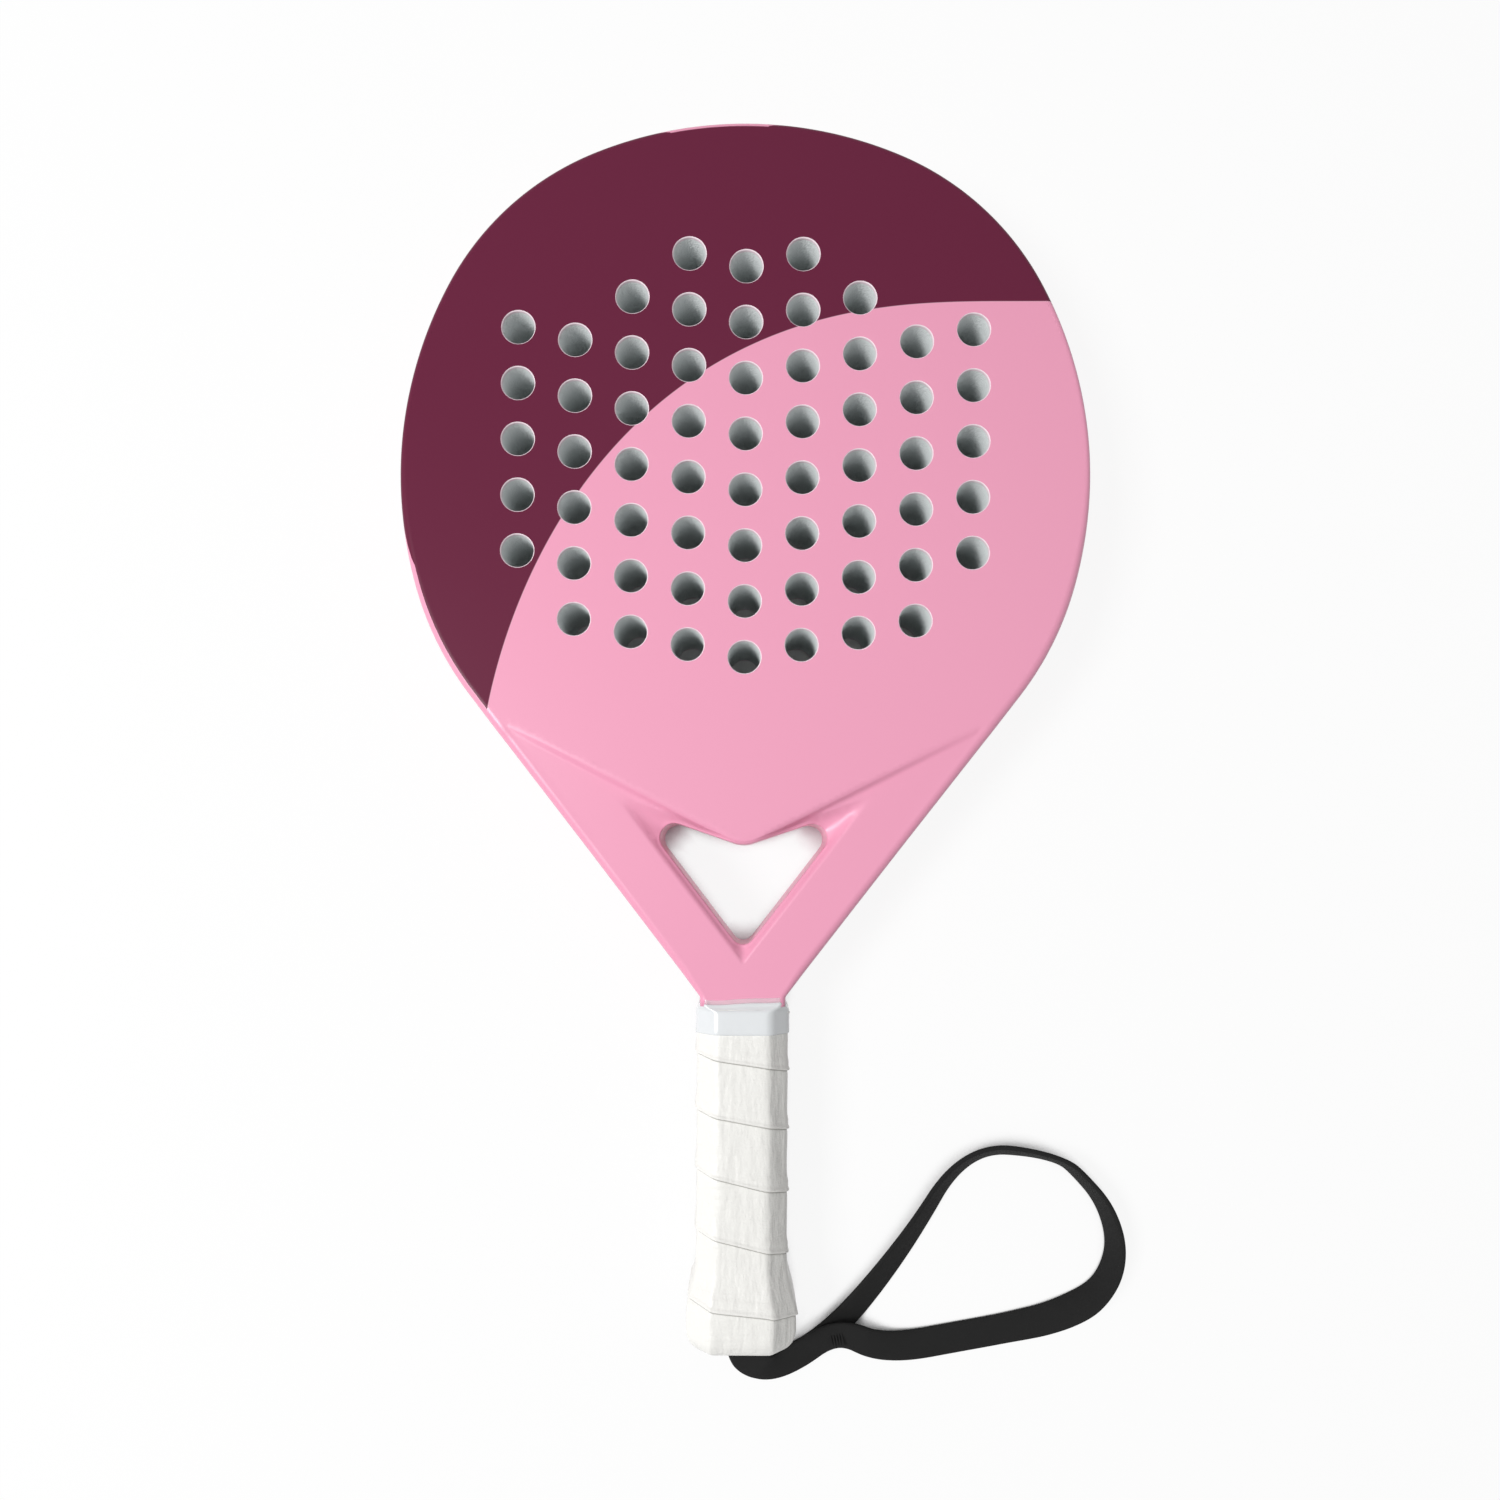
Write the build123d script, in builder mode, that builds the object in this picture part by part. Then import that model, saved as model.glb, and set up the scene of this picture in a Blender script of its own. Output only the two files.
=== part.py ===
"""Padel racket, built as the separate pieces that a workshop would find in it.

The racket lies flat on its back face. X is its width, +Y points from the handle to the head, and +Z
is the normal of the front face. The origin is at mid-length on the symmetry plane, on the surface
that the racket lies on. All sizes are millimetres and degrees.
"""

import os
from math import cos, radians, sin, tan

from build123d import *

os.makedirs("parts", exist_ok=True)

# Overall size
racket_length = 452.0
head_width = 251.9
thickness = 38.0

# Edge of the head: four tangent arcs from the crown down to the straight arms
side_radius = 149.5
side_turn_up = 28.1
shoulder_radius = 104.6
shoulder_turn = 39.3
side_turn_down = 15.4
cheek_radius = 115.7
arm_angle = 37.48
rim_fillet = 2.0

# Neck, where the two arms meet above the handle
neck_width = 31.6
neck_straight = 3.4
neck_depth = 28.0
ramp_length = 46.0
ramp_above_crease = 2.8
ramp_drop = 3.4
ramp_radius = 60.0

# Moulded tube, face laminates and foam
rim_width = 11.0
tube_wall = 1.6
skin = 1.2
skin_inset = 2.4
leg_gap = 4.0
plug_length = 15.0

# Raised tongue of the two faces above the throat
crease_angle = 27.0
crease_above_opening = 0.1
crease_round = 20.0
bridge_height = 40.0
yoke_above_neck = 10.0

# Throat opening between the arms
arm_width = 22.6
opening_height = 39.15
opening_rise = 18.8
opening_corner = 5.4
opening_foot_round = 4.4
opening_dip_round = 12.0
opening_bevel = 2.2

# Drilled holes, in columns that step up away from the middle
hole_diameter = 11.7
hole_edge = 0.4
column_pitch = 20.7
row_pitch = 20.3
column_rise = 4.5
lowest_row_below_widest = 65.9
hole_margin = 2.0
holes_in_column = (8, 8, 7, 6, 5)
first_row_in_column = (0, 0, 0, 0, 1)

# Handle, across its flats, and its layers
grip_width = 34.0
grip_depth = 31.0
grip_bevel = 6.2
butt_width = 41.0
butt_depth = 36.6
butt_bevel = 8.0
overgrip = 0.8
base_grip = 1.7
pallet_side = 3.5
pallet_cover = 3.0
grip_below_neck = 1.0
flare_length = 17.0
flare_above_butt = 15.5
butt_round = 7.0
tape_length = 10.5
tape = 0.4

# Butt cap and the strap's seat in it
socket_depth = 6.5
cap_wall = 4.2
knot_room = 1.5
chamber_above_knot = 7.5
chamber_corner = 3.8
end_fold = 2.0
end_window_corner = 4.2

# Wrist strap
strap_width = 12.0
strap_thickness = 2.0
strap_gap = 0.3
knot_length = 11.0
knot_width = 17.0
knot_depth = 12.0
knot_corner = 4.0
knot_edge = 2.0
bend_share = 0.45
stitch_count = 5
stitch_pitch = 1.1
stitch_length = 8.0
stitch_size = 0.5
stitch_lift = 0.15

# Handle sizes that follow from those above
middle = thickness / 2
half_width = head_width / 2
crown_turn = 90 - side_turn_up - shoulder_turn
butt_end = -racket_length / 2
flare_end = butt_end + flare_above_butt
flare_start = flare_end + flare_length
grip_layers = overgrip + base_grip
core_width = grip_width - 2 * grip_layers
core_depth = grip_depth - 2 * grip_layers
leg_width = core_width - 2 * pallet_side
leg_depth = core_depth - 2 * pallet_cover
leg_room_width = (leg_width - 3 * tube_wall) / 2
leg_room_depth = leg_depth - 2 * tube_wall
leg_room_pitch = leg_room_width + tube_wall
cap_end = butt_end + overgrip
knot_face = cap_end + cap_wall
cap_floor = knot_face + knot_length + chamber_above_knot
cap_top = cap_floor + socket_depth
leg_end = cap_floor + leg_gap
chamber_width = knot_width + 2 * knot_room
chamber_depth = knot_depth + 2 * knot_room
end_window_width = butt_width - 2 * (butt_round + end_fold)
end_window_depth = butt_depth - 2 * (butt_round + end_fold)


def shortfall(first, last):
    """How far an arc of unit radius draws in sideways as its turn grows from first to last."""
    return cos(radians(first)) - cos(radians(last))


def advance(first, last):
    """How far an arc of unit radius moves along the racket as its turn grows from first to last."""
    return sin(radians(last)) - sin(radians(first))


# Head, arm and throat sizes that follow from those above: the arms' edges set where the neck comes
turned = side_turn_up + shoulder_turn
side_shortfall = side_radius * shortfall(0, side_turn_up)
shoulder_shortfall = shoulder_radius * shortfall(side_turn_up, turned)
crown_radius = (half_width - side_shortfall - shoulder_shortfall) / shortfall(turned, 90)
widest = (
    racket_length / 2
    - side_radius * advance(0, side_turn_up)
    - shoulder_radius * advance(side_turn_up, turned)
    - crown_radius * advance(turned, 90)
)
waist_shortfall = side_radius * shortfall(0, side_turn_down)
waist_drop = side_radius * advance(0, side_turn_down)
hip_x = half_width - waist_shortfall - cheek_radius * shortfall(side_turn_down, arm_angle)
hip_y = widest - waist_drop - cheek_radius * advance(side_turn_down, arm_angle)
arm_slope = tan(radians(arm_angle))
arms_meet = hip_y - hip_x / arm_slope
neck_end = arms_meet + neck_width / 2 / arm_slope - neck_straight
yoke_foot = neck_end + yoke_above_neck
grip_top = neck_end - grip_below_neck
opening_foot = arms_meet + arm_width / sin(radians(arm_angle))
opening_top = opening_foot + opening_height
crease_tip = opening_top + crease_above_opening
bridge_top = crease_tip + bridge_height
ramp_break = crease_tip + ramp_above_crease
ramp_start = ramp_break + ramp_length
lowest_row = widest - lowest_row_below_widest
hair = 0.01


def draw_racket_edge(inset, foot, foot_half_width=0.0):
    """Face of the head and its arms, moved inwards by inset and closed straight across at foot.

    The arms stop narrowing at foot_half_width and run straight down from there.
    """
    with BuildLine() as edge:
        start = (half_width - inset, widest)
        side = JernArc(start, (0, 1), side_radius - inset, side_turn_up)
        shoulder = JernArc(side @ 1, side % 1, shoulder_radius - inset, shoulder_turn)
        JernArc(shoulder @ 1, shoulder % 1, crown_radius - inset, crown_turn)
        waist = JernArc(start, (0, -1), side_radius - inset, -side_turn_down)
        cheek = JernArc(waist @ 1, waist % 1, cheek_radius - inset, side_turn_down - arm_angle)
        hip = cheek @ 1
        narrowest = max(foot_half_width, hip.X - (hip.Y - foot) * arm_slope)
        neck = (narrowest, hip.Y - (hip.X - narrowest) / arm_slope)
        if foot_half_width:
            Polyline(hip, neck, (narrowest, foot), (0, foot))
        else:
            Polyline(hip, neck, (0, foot))
        mirror(about=Plane.YZ)
    make_face(edge.edges())


def cut_below_vee(tip, rounding=0.0):
    """Takes away all of a sketch that lies below a V parallel to the crease, with its tip at tip."""
    reach = head_width
    with BuildLine() as vee:
        right = (reach, tip + reach * tan(radians(crease_angle)))
        left = (-reach, right[1])
        Polyline(right, (0, tip), left)
        if rounding:
            fillet(vee.vertices().sort_by(Axis.Y)[0], rounding)
        Polyline(left, (-reach, -racket_length), (reach, -racket_length), right)
    make_face(vee.edges(), mode=Mode.SUBTRACT)


def keep_below_vee(tip):
    """Keeps only what lies below a V parallel to the crease."""
    reach = head_width
    height = tip + reach * tan(radians(crease_angle))
    low = -racket_length
    with BuildLine() as vee:
        Polyline((0, tip), (reach, height), (reach, low), (-reach, low), (-reach, height), close=True)
    make_face(vee.edges(), mode=Mode.INTERSECT)


def opening_corners(grow):
    """Sharp corners of the throat opening, grown by grow on every side."""
    rise = tan(radians(opening_rise))
    foot = opening_foot - grow / sin(radians(arm_angle))
    top = opening_top + grow / cos(radians(opening_rise))
    corner_x = (top - foot) * arm_slope / (1 - rise * arm_slope)
    corner = (corner_x, top + corner_x * rise)
    return (0, foot), corner, (0, top)


def draw_opening(grow=0.0, mode=Mode.SUBTRACT, rounded=True):
    """The throat opening as a face of the sketch."""
    foot, corner, top = opening_corners(grow)
    with BuildLine() as line:
        Polyline(foot, corner, top, (-corner[0], corner[1]), foot)
        if rounded:
            fillet(line.vertices().sort_by(Axis.X)[0], opening_corner)
            fillet(line.vertices().sort_by(Axis.X)[-1], opening_corner)
            fillet(line.vertices().sort_by(Axis.Y)[0], opening_foot_round)
            fillet(line.vertices().sort_by(lambda v: abs(v.X) + abs(v.Y - top[1]))[0], opening_dip_round)
    make_face(line.edges(), mode=mode)


def side_profile(inset):
    """Side view of the racket's head, arms and neck, moved inwards by inset, as one half and its mirror."""
    high = middle - inset
    end = neck_end + inset
    with BuildLine() as line:
        Polyline(
            (racket_length / 2 - inset, 0),
            (racket_length / 2 - inset, high),
            (ramp_start, high),
            (ramp_break, high - ramp_drop),
            (end, neck_depth / 2 - inset),
            (end, 0),
        )
        for corner in ((ramp_start, high), (ramp_break, high - ramp_drop)):
            near = line.vertices().sort_by(lambda v: abs(v.X - corner[0]) + abs(v.Y - corner[1]))[0]
            fillet(near, ramp_radius)
        mirror(about=Plane.XZ)
    make_face(line.edges())


side_plane = Plane(origin=(0, 0, middle), x_dir=(0, 1, 0), z_dir=(1, 0, 0))


def across_handle(y):
    """Plane across the handle at y, with its own X as the racket's width and its own Y up."""
    return Plane(origin=(0, y, middle), x_dir=(1, 0, 0), z_dir=(0, -1, 0))


def handle_stations(inset):
    """Distance along the handle, width, depth and bevel of each section, moved inwards by inset."""
    end = butt_end + inset
    curl = butt_round - inset
    part_curl = curl * (1 - cos(radians(45)))
    bevel_loss = 2 - 2 * cos(radians(45))
    narrow = (grip_width - 2 * inset, grip_depth - 2 * inset, grip_bevel)

    def wide(further):
        less = 2 * (inset + further)
        return butt_width - less, butt_depth - less, butt_bevel - further * bevel_loss

    return (
        (grip_top, *narrow),
        (flare_start, *narrow),
        (flare_end, *wide(0)),
        (end + curl, *wide(0)),
        (end + part_curl, *wide(part_curl)),
        (end, *wide(curl)),
    )


def handle_body(inset):
    """The whole handle from the top of its grip to the butt, moved inwards by inset."""
    with BuildPart() as body:
        for y, width, depth, bevel in handle_stations(inset):
            with BuildSketch(across_handle(y)):
                Rectangle(width, depth)
                chamfer(vertices(), bevel)
        loft(ruled=True)
    return body.part


def handle_slab(first, last):
    """A block across the whole handle between two places along it."""
    with BuildPart() as slab:
        with BuildSketch(across_handle(first)):
            Rectangle(2 * butt_width, 2 * butt_depth)
        extrude(amount=first - last)
    return slab.part


# Whole moulded outside of the head, arms and neck, which several pieces share
with BuildPart() as envelope:
    with BuildSketch():
        draw_racket_edge(0, neck_end, neck_width / 2)
    extrude(amount=thickness)
    with BuildSketch(side_plane):
        side_profile(0)
    extrude(amount=half_width, both=True, mode=Mode.INTERSECT)
    rim_edges = envelope.edges().filter_by(Axis.X, reverse=True).filter_by(Axis.Z, reverse=True)
    fillet(rim_edges, rim_fillet)

# The room inside the moulded tube
with BuildPart() as tube_hollow:
    with BuildSketch():
        draw_racket_edge(tube_wall, neck_end + tube_wall, neck_width / 2 - tube_wall)
        with BuildSketch(mode=Mode.PRIVATE) as inner_wall:
            draw_racket_edge(rim_width - tube_wall, yoke_foot - tube_wall)
        add(inner_wall.sketch, mode=Mode.SUBTRACT)
    extrude(amount=thickness)
    with BuildSketch(side_plane):
        side_profile(skin + tube_wall)
    extrude(amount=half_width, both=True, mode=Mode.INTERSECT)
    with BuildSketch(across_handle(yoke_foot - 2 * tube_wall)):
        with GridLocations(leg_room_pitch, 0, 2, 1):
            Rectangle(leg_room_width, leg_room_depth)
    extrude(amount=yoke_foot - 2 * tube_wall - leg_end)

# Frame: one hollow tube round the head, down both arms and on as two legs inside the handle
with BuildPart() as frame_tube:
    add(envelope.part)
    with BuildSketch():
        draw_racket_edge(rim_width, yoke_foot)
    extrude(amount=thickness, mode=Mode.SUBTRACT)
    for level in (0, thickness - skin):
        with BuildSketch(Plane.XY.offset(level)):
            draw_racket_edge(skin_inset, yoke_foot)
            cut_below_vee(crease_tip, crease_round)
        extrude(amount=skin, mode=Mode.SUBTRACT)
    with BuildSketch(across_handle(neck_end)):
        Rectangle(leg_width, leg_depth)
    extrude(amount=neck_end - leg_end)
    add(tube_hollow.part, mode=Mode.SUBTRACT)
frame_tube.part.label = "frame_tube"
export_step(frame_tube.part, "parts/frame_tube.step")

# Foam plugs that close the open ends of the two legs
with BuildPart() as leg_plugs:
    with BuildSketch(across_handle(leg_end + plug_length)):
        with GridLocations(leg_room_pitch, 0, 2, 1):
            Rectangle(leg_room_width, leg_room_depth)
    extrude(amount=plug_length)
leg_plugs.part.label = "leg_plugs"
export_step(leg_plugs.part, "parts/leg_plugs.step")

# Throat yoke: the bridge below the head's foam and the two ribs that run down inside the arms
with BuildPart() as throat_yoke:
    with BuildSketch():
        draw_racket_edge(rim_width, yoke_foot)
        keep_below_vee(bridge_top)
        draw_opening()
    extrude(amount=thickness)
    with BuildSketch(side_plane):
        side_profile(0)
    extrude(amount=half_width, both=True, mode=Mode.INTERSECT)
    with BuildSketch(Plane.XY.offset(skin)):
        draw_racket_edge(rim_width, yoke_foot)
        cut_below_vee(crease_tip, crease_round)
        keep_below_vee(bridge_top)
        draw_opening()
    extrude(amount=thickness - 2 * skin)
    for level in (0, thickness - skin):
        with BuildSketch(Plane.XY.offset(level)):
            draw_racket_edge(rim_width / 2, yoke_foot)
            cut_below_vee(crease_tip, crease_round)
        extrude(amount=skin, mode=Mode.SUBTRACT)
    for level, sense in ((ramp_drop, 1), (thickness - ramp_drop, -1)):
        with BuildSketch(Plane.XY.offset(level)):
            draw_opening(opening_bevel, mode=Mode.ADD, rounded=False)
        extrude(amount=sense * opening_bevel, taper=45, mode=Mode.SUBTRACT)
throat_yoke.part.label = "throat_yoke"
export_step(throat_yoke.part, "parts/throat_yoke.step")

# Where a hole's centre may lie so that the hole keeps its margin from the tube and the bridge
hole_reach = hole_diameter / 2 + hole_margin
with BuildSketch() as hole_field:
    draw_racket_edge(rim_width + hole_reach, bridge_top)
    cut_below_vee(bridge_top + hole_reach / cos(radians(crease_angle)))


def hole_places():
    """Centres of the drilled holes, column by column from the middle outwards on both sides."""
    field = hole_field.sketch.faces()[0]
    for column, count in enumerate(holes_in_column):
        first = first_row_in_column[column]
        for row in range(first, first + count):
            y = lowest_row + row * row_pitch + column * column_rise
            for side in sorted({-1, 1} if column else {1}):
                if field.is_inside(Vector(side * column * column_pitch, y)):
                    yield side * column * column_pitch, y


print("drilled holes:", len(list(hole_places())))


# Foam core that fills the head inside the tube
with BuildPart() as foam_core:
    with BuildSketch(Plane.XY.offset(skin)):
        draw_racket_edge(rim_width, yoke_foot)
        cut_below_vee(bridge_top)
        with Locations(*hole_places()):
            Circle(hole_diameter / 2, mode=Mode.SUBTRACT)
    extrude(amount=thickness - 2 * skin)
foam_core.part.label = "foam_core"
export_step(foam_core.part, "parts/foam_core.step")


def face_laminate(level, outer_level):
    """One drilled face laminate from level upwards, its holes eased where they meet outer_level."""
    with BuildPart() as laminate:
        with BuildSketch(Plane.XY.offset(level)):
            draw_racket_edge(skin_inset, yoke_foot)
            cut_below_vee(crease_tip, crease_round)
            with Locations(*hole_places()):
                Circle(hole_diameter / 2, mode=Mode.SUBTRACT)
        extrude(amount=skin)
        circles = laminate.edges().filter_by(GeomType.CIRCLE)
        rims = circles.filter_by(lambda e: abs(e.radius - hole_diameter / 2) < hair)
        outside = rims.filter_by(lambda e: abs(e.center().Z - outer_level) < hair)
        chamfer(outside, hole_edge)
    return laminate


front_face = face_laminate(thickness - skin, thickness)
front_face.part.label = "front_face"
export_step(front_face.part, "parts/front_face.step")
back_face = face_laminate(0, 0)
back_face.part.label = "back_face"
export_step(back_face.part, "parts/back_face.step")


def pallet(lower, height):
    """Half of the foam handle core, from lower upwards, with a channel for the tube's two legs."""
    with BuildPart() as half:
        with BuildSketch(across_handle(neck_end)):
            Rectangle(core_width, core_depth)
            chamfer(vertices(), grip_bevel)
            Rectangle(leg_width, leg_depth, mode=Mode.SUBTRACT)
        extrude(amount=neck_end - cap_floor)
        with BuildSketch(Plane.XY.offset(lower)):
            with Locations((0, (neck_end + cap_floor) / 2)):
                Rectangle(2 * grip_width, neck_end - cap_floor)
        extrude(amount=height, mode=Mode.INTERSECT)
    return half


front_pallet = pallet(middle, middle)
front_pallet.part.label = "front_pallet"
export_step(front_pallet.part, "parts/front_pallet.step")
back_pallet = pallet(0, middle)
back_pallet.part.label = "back_pallet"
export_step(back_pallet.part, "parts/back_pallet.step")

# The wide end of the butt cap, which the cushion grip stops against
with BuildPart() as flange:
    add(handle_body(overgrip))
    add(handle_slab(butt_end + butt_round, butt_end), mode=Mode.INTERSECT)

# Butt cap: a socket over the pallets, a chamber for the strap's knot and a slot that the strap leaves by
with BuildPart() as butt_cap:
    add(handle_body(grip_layers))
    add(handle_slab(cap_top, butt_end + butt_round), mode=Mode.INTERSECT)
    add(flange.part)
    with BuildSketch(across_handle(cap_top)):
        Rectangle(core_width, core_depth)
        chamfer(vertices(), grip_bevel)
    extrude(amount=cap_top - cap_floor, mode=Mode.SUBTRACT)
    with BuildSketch(across_handle(cap_floor)):
        RectangleRounded(chamber_width, chamber_depth, chamber_corner)
    extrude(amount=cap_floor - cap_end - cap_wall, mode=Mode.SUBTRACT)
    slot_height = 2 * strap_thickness + 3 * strap_gap
    with BuildSketch(across_handle(cap_end + cap_wall)):
        Rectangle(strap_width + 2 * strap_gap, slot_height)
    extrude(amount=cap_wall, mode=Mode.SUBTRACT)
butt_cap.part.label = "butt_cap"
export_step(butt_cap.part, "parts/butt_cap.step")

# Cushion grip wound on the pallets, up to the flange of the butt cap
with BuildPart() as cushion_grip:
    add(handle_body(overgrip))
    add(handle_body(grip_layers), mode=Mode.SUBTRACT)
    add(handle_slab(grip_top, butt_end + butt_round), mode=Mode.INTERSECT)
cushion_grip.part.label = "cushion_grip"
export_step(cushion_grip.part, "parts/cushion_grip.step")

# Overgrip wound on top of it and folded over the edge of the butt
with BuildPart() as overgrip_wrap:
    add(handle_body(0))
    add(handle_body(overgrip), mode=Mode.SUBTRACT)
    with BuildSketch(across_handle(cap_end)):
        RectangleRounded(end_window_width, end_window_depth, end_window_corner)
    extrude(amount=overgrip, mode=Mode.SUBTRACT)
overgrip_wrap.part.label = "overgrip_wrap"
export_step(overgrip_wrap.part, "parts/overgrip_wrap.step")

# Finishing tape round the top end of the grip
with BuildPart() as finishing_tape:
    with BuildSketch(across_handle(neck_end)):
        Rectangle(grip_width + 2 * tape, grip_depth + 2 * tape)
        chamfer(vertices(), grip_bevel)
        with BuildSketch(mode=Mode.PRIVATE) as bare:
            Rectangle(grip_width, grip_depth)
            chamfer(vertices(), grip_bevel)
        add(bare.sketch, mode=Mode.SUBTRACT)
    extrude(amount=tape_length)
finishing_tape.part.label = "finishing_tape"
export_step(finishing_tape.part, "parts/finishing_tape.step")

# Knot that the strap's two ends are tied in, drawn tight against the inside of the butt cap
with BuildPart() as strap_knot:
    with BuildSketch(across_handle(knot_face)):
        RectangleRounded(knot_width, knot_depth, knot_corner)
    extrude(amount=-knot_length)
    fillet(strap_knot.faces().sort_by(Axis.Y)[-1].edges(), knot_edge)
strap_knot.part.label = "strap_knot"
export_step(strap_knot.part, "parts/strap_knot.step")

# Wrist strap: from the knot out through the slot, round its loop on the ground and back to the knot.
# Each point is the distance across the racket, the distance past the end of the butt, and the height.
strand_rise = (strap_thickness + strap_gap) / 2
in_knot = butt_end - knot_face
strap_route = (
    (0.0, in_knot, middle - strand_rise),
    (0.0, 2.6, middle - strand_rise),
    (5.0, 9.4, 12.0),
    (12.6, 14.8, 4.9),
    (22.5, 13.1, 2.5),
    (32.8, 6.0, 2.9),
    (43.3, -4.2, 3.3),
    (57.0, -21.4, 4.2),
    (70.3, -40.6, 4.9),
    (82.1, -60.6, 5.3),
    (96.9, -70.1, 5.6),
    (114.7, -68.5, 5.8),
    (126.5, -65.2, 5.9),
    (131.8, -61.4, 5.9),
    (143.8, -47.9, 5.9),
    (148.7, -29.6, 5.8),
    (141.9, -12.9, 5.6),
    (125.5, -2.5, 2.8),
    (105.5, 2.8, 1.1),
    (85.0, 6.6, 1.1),
    (66.4, 9.8, 1.8),
    (52.7, 8.6, 4.0),
    (42.0, 3.0, 6.4),
    (32.7, 4.6, 6.4),
    (22.3, 11.8, 6.8),
    (12.2, 14.8, 9.6),
    (5.0, 10.8, 16.2),
    (0.0, 3.8, middle + strand_rise),
    (0.0, in_knot, middle + strand_rise),
)
route_points = [Vector(x, butt_end - past, z) for x, past, z in strap_route]


def bend_radii(points):
    """The largest easy bend at each inner point, from the shorter run beside it and its turn."""
    radii = []
    for before, corner, after in zip(points, points[1:], points[2:]):
        arriving, leaving = corner - before, after - corner
        half_turn = radians(arriving.get_angle(leaving) / 2)
        radii.append(bend_share * min(arriving.length, leaving.length) / tan(half_turn))
    return radii


strap_radii = bend_radii(route_points)
strap_path = Wire(FilletPolyline(*route_points, radius=strap_radii).edges())
print("strap radii, mm:", [round(radius, 1) for radius in strap_radii])
with BuildPart() as wrist_strap:
    with BuildSketch(across_handle(knot_face)):
        with Locations((0, -strand_rise)):
            Rectangle(strap_width, strap_thickness)
    sweep(path=strap_path, binormal=strap_path.translate((0, 0, thickness)))
expected = strap_width * strap_thickness * strap_path.length
print("strap length, mm:", round(strap_path.length, 1), "volume over section times length:",
      round(wrist_strap.part.volume / expected, 3))
wrist_strap.part.label = "wrist_strap"
export_step(wrist_strap.part, "parts/wrist_strap.step")

# Bar tack that closes the loop, sewn through both strands where they part
stitch_start, stitch_end = route_points[-7], route_points[-6]
stitch_way = (stitch_end - stitch_start).normalized()
tack_middle = (stitch_start + stitch_end) / 2 + Vector(0, 0, strap_thickness / 2 + stitch_lift)
tack_plane = Plane(origin=tack_middle, x_dir=stitch_way, z_dir=(0, 0, 1))
with BuildPart() as strap_stitching:
    with BuildSketch(tack_plane):
        with GridLocations(stitch_pitch, 0, stitch_count, 1):
            Rectangle(stitch_size, stitch_length)
    extrude(amount=stitch_size)
strap_stitching.part.label = "strap_stitching"
export_step(strap_stitching.part, "parts/strap_stitching.step")
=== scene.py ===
import math

import bmesh
import bpy
import numpy as np
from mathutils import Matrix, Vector
from mathutils.geometry import delaunay_2d_cdt


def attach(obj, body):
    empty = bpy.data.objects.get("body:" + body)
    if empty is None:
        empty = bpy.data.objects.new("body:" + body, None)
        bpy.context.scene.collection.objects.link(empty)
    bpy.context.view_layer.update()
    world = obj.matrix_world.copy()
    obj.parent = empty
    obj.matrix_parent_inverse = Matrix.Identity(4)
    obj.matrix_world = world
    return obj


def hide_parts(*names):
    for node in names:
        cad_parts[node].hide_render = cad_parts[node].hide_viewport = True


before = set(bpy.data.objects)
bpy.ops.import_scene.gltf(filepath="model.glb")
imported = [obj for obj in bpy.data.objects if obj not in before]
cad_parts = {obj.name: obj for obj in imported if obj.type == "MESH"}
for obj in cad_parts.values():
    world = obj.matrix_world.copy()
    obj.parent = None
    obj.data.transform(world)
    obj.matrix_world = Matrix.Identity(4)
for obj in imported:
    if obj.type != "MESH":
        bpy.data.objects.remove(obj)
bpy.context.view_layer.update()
MM = 0.001

# ---------------------------------------------------------------- camera
EYE = Vector((0.6, -41.5, 416.7)) * MM
view_camera = bpy.data.cameras.new("view_camera")
view_camera.sensor_width = 36.0
view_camera.lens = 25.008
view_camera.shift_x = 0.0033
view_camera.shift_y = 0.0713
view_camera.clip_start = 0.01
view_camera.clip_end = 30.0
camera = bpy.data.objects.new("view_camera", view_camera)
camera.location = EYE
camera.rotation_euler = (0.0, 0.0, math.radians(0.3))
bpy.context.scene.collection.objects.link(camera)
bpy.context.scene.camera = camera


# ---------------------------------------------------------------- small tools
def new_mesh(name, verts_mm, faces):
    mesh = bpy.data.meshes.new(name)
    mesh.from_pydata([tuple(float(c) * MM for c in v) for v in verts_mm], [], faces)
    mesh.validate(clean_customdata=False)
    mesh.shade_smooth()
    obj = bpy.data.objects.new(name, mesh)
    bpy.context.scene.collection.objects.link(obj)
    return obj


def set_uv(obj, uv_of_vertex):
    layer = obj.data.uv_layers.new(name="along")
    loops = np.zeros(len(obj.data.loops), np.int32)
    obj.data.loops.foreach_get("vertex_index", loops)
    layer.data.foreach_set("uv", np.asarray(uv_of_vertex, np.float32)[loops].ravel())


def srgb(r, g, b):
    def lin(c):
        c = c / 255.0
        return c / 12.92 if c <= 0.04045 else ((c + 0.055) / 1.055) ** 2.4

    return (lin(r), lin(g), lin(b), 1.0)


def principled(m):
    return m.node_tree.nodes["Principled BSDF"]


def material(name, colour, roughness, **sockets):
    m = bpy.data.materials.new(name)
    m.use_nodes = True
    b = principled(m)
    b.inputs["Base Color"].default_value = colour
    b.inputs["Roughness"].default_value = roughness
    for key, value in sockets.items():
        b.inputs[key.replace("_", " ")].default_value = value
    return m


def node(m, kind, **settings):
    n = m.node_tree.nodes.new(kind)
    for key, value in settings.items():
        setattr(n, key, value)
    return n


def link(m, out, into):
    m.node_tree.links.new(out, into)


def math_node(m, operation, a, b=None, clamp=False):
    n = node(m, "ShaderNodeMath", operation=operation, use_clamp=clamp)
    for socket, value in zip(n.inputs, (a, b)):
        if value is None:
            continue
        if isinstance(value, (int, float)):
            socket.default_value = value
        else:
            link(m, value, socket)
    return n.outputs[0]


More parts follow.
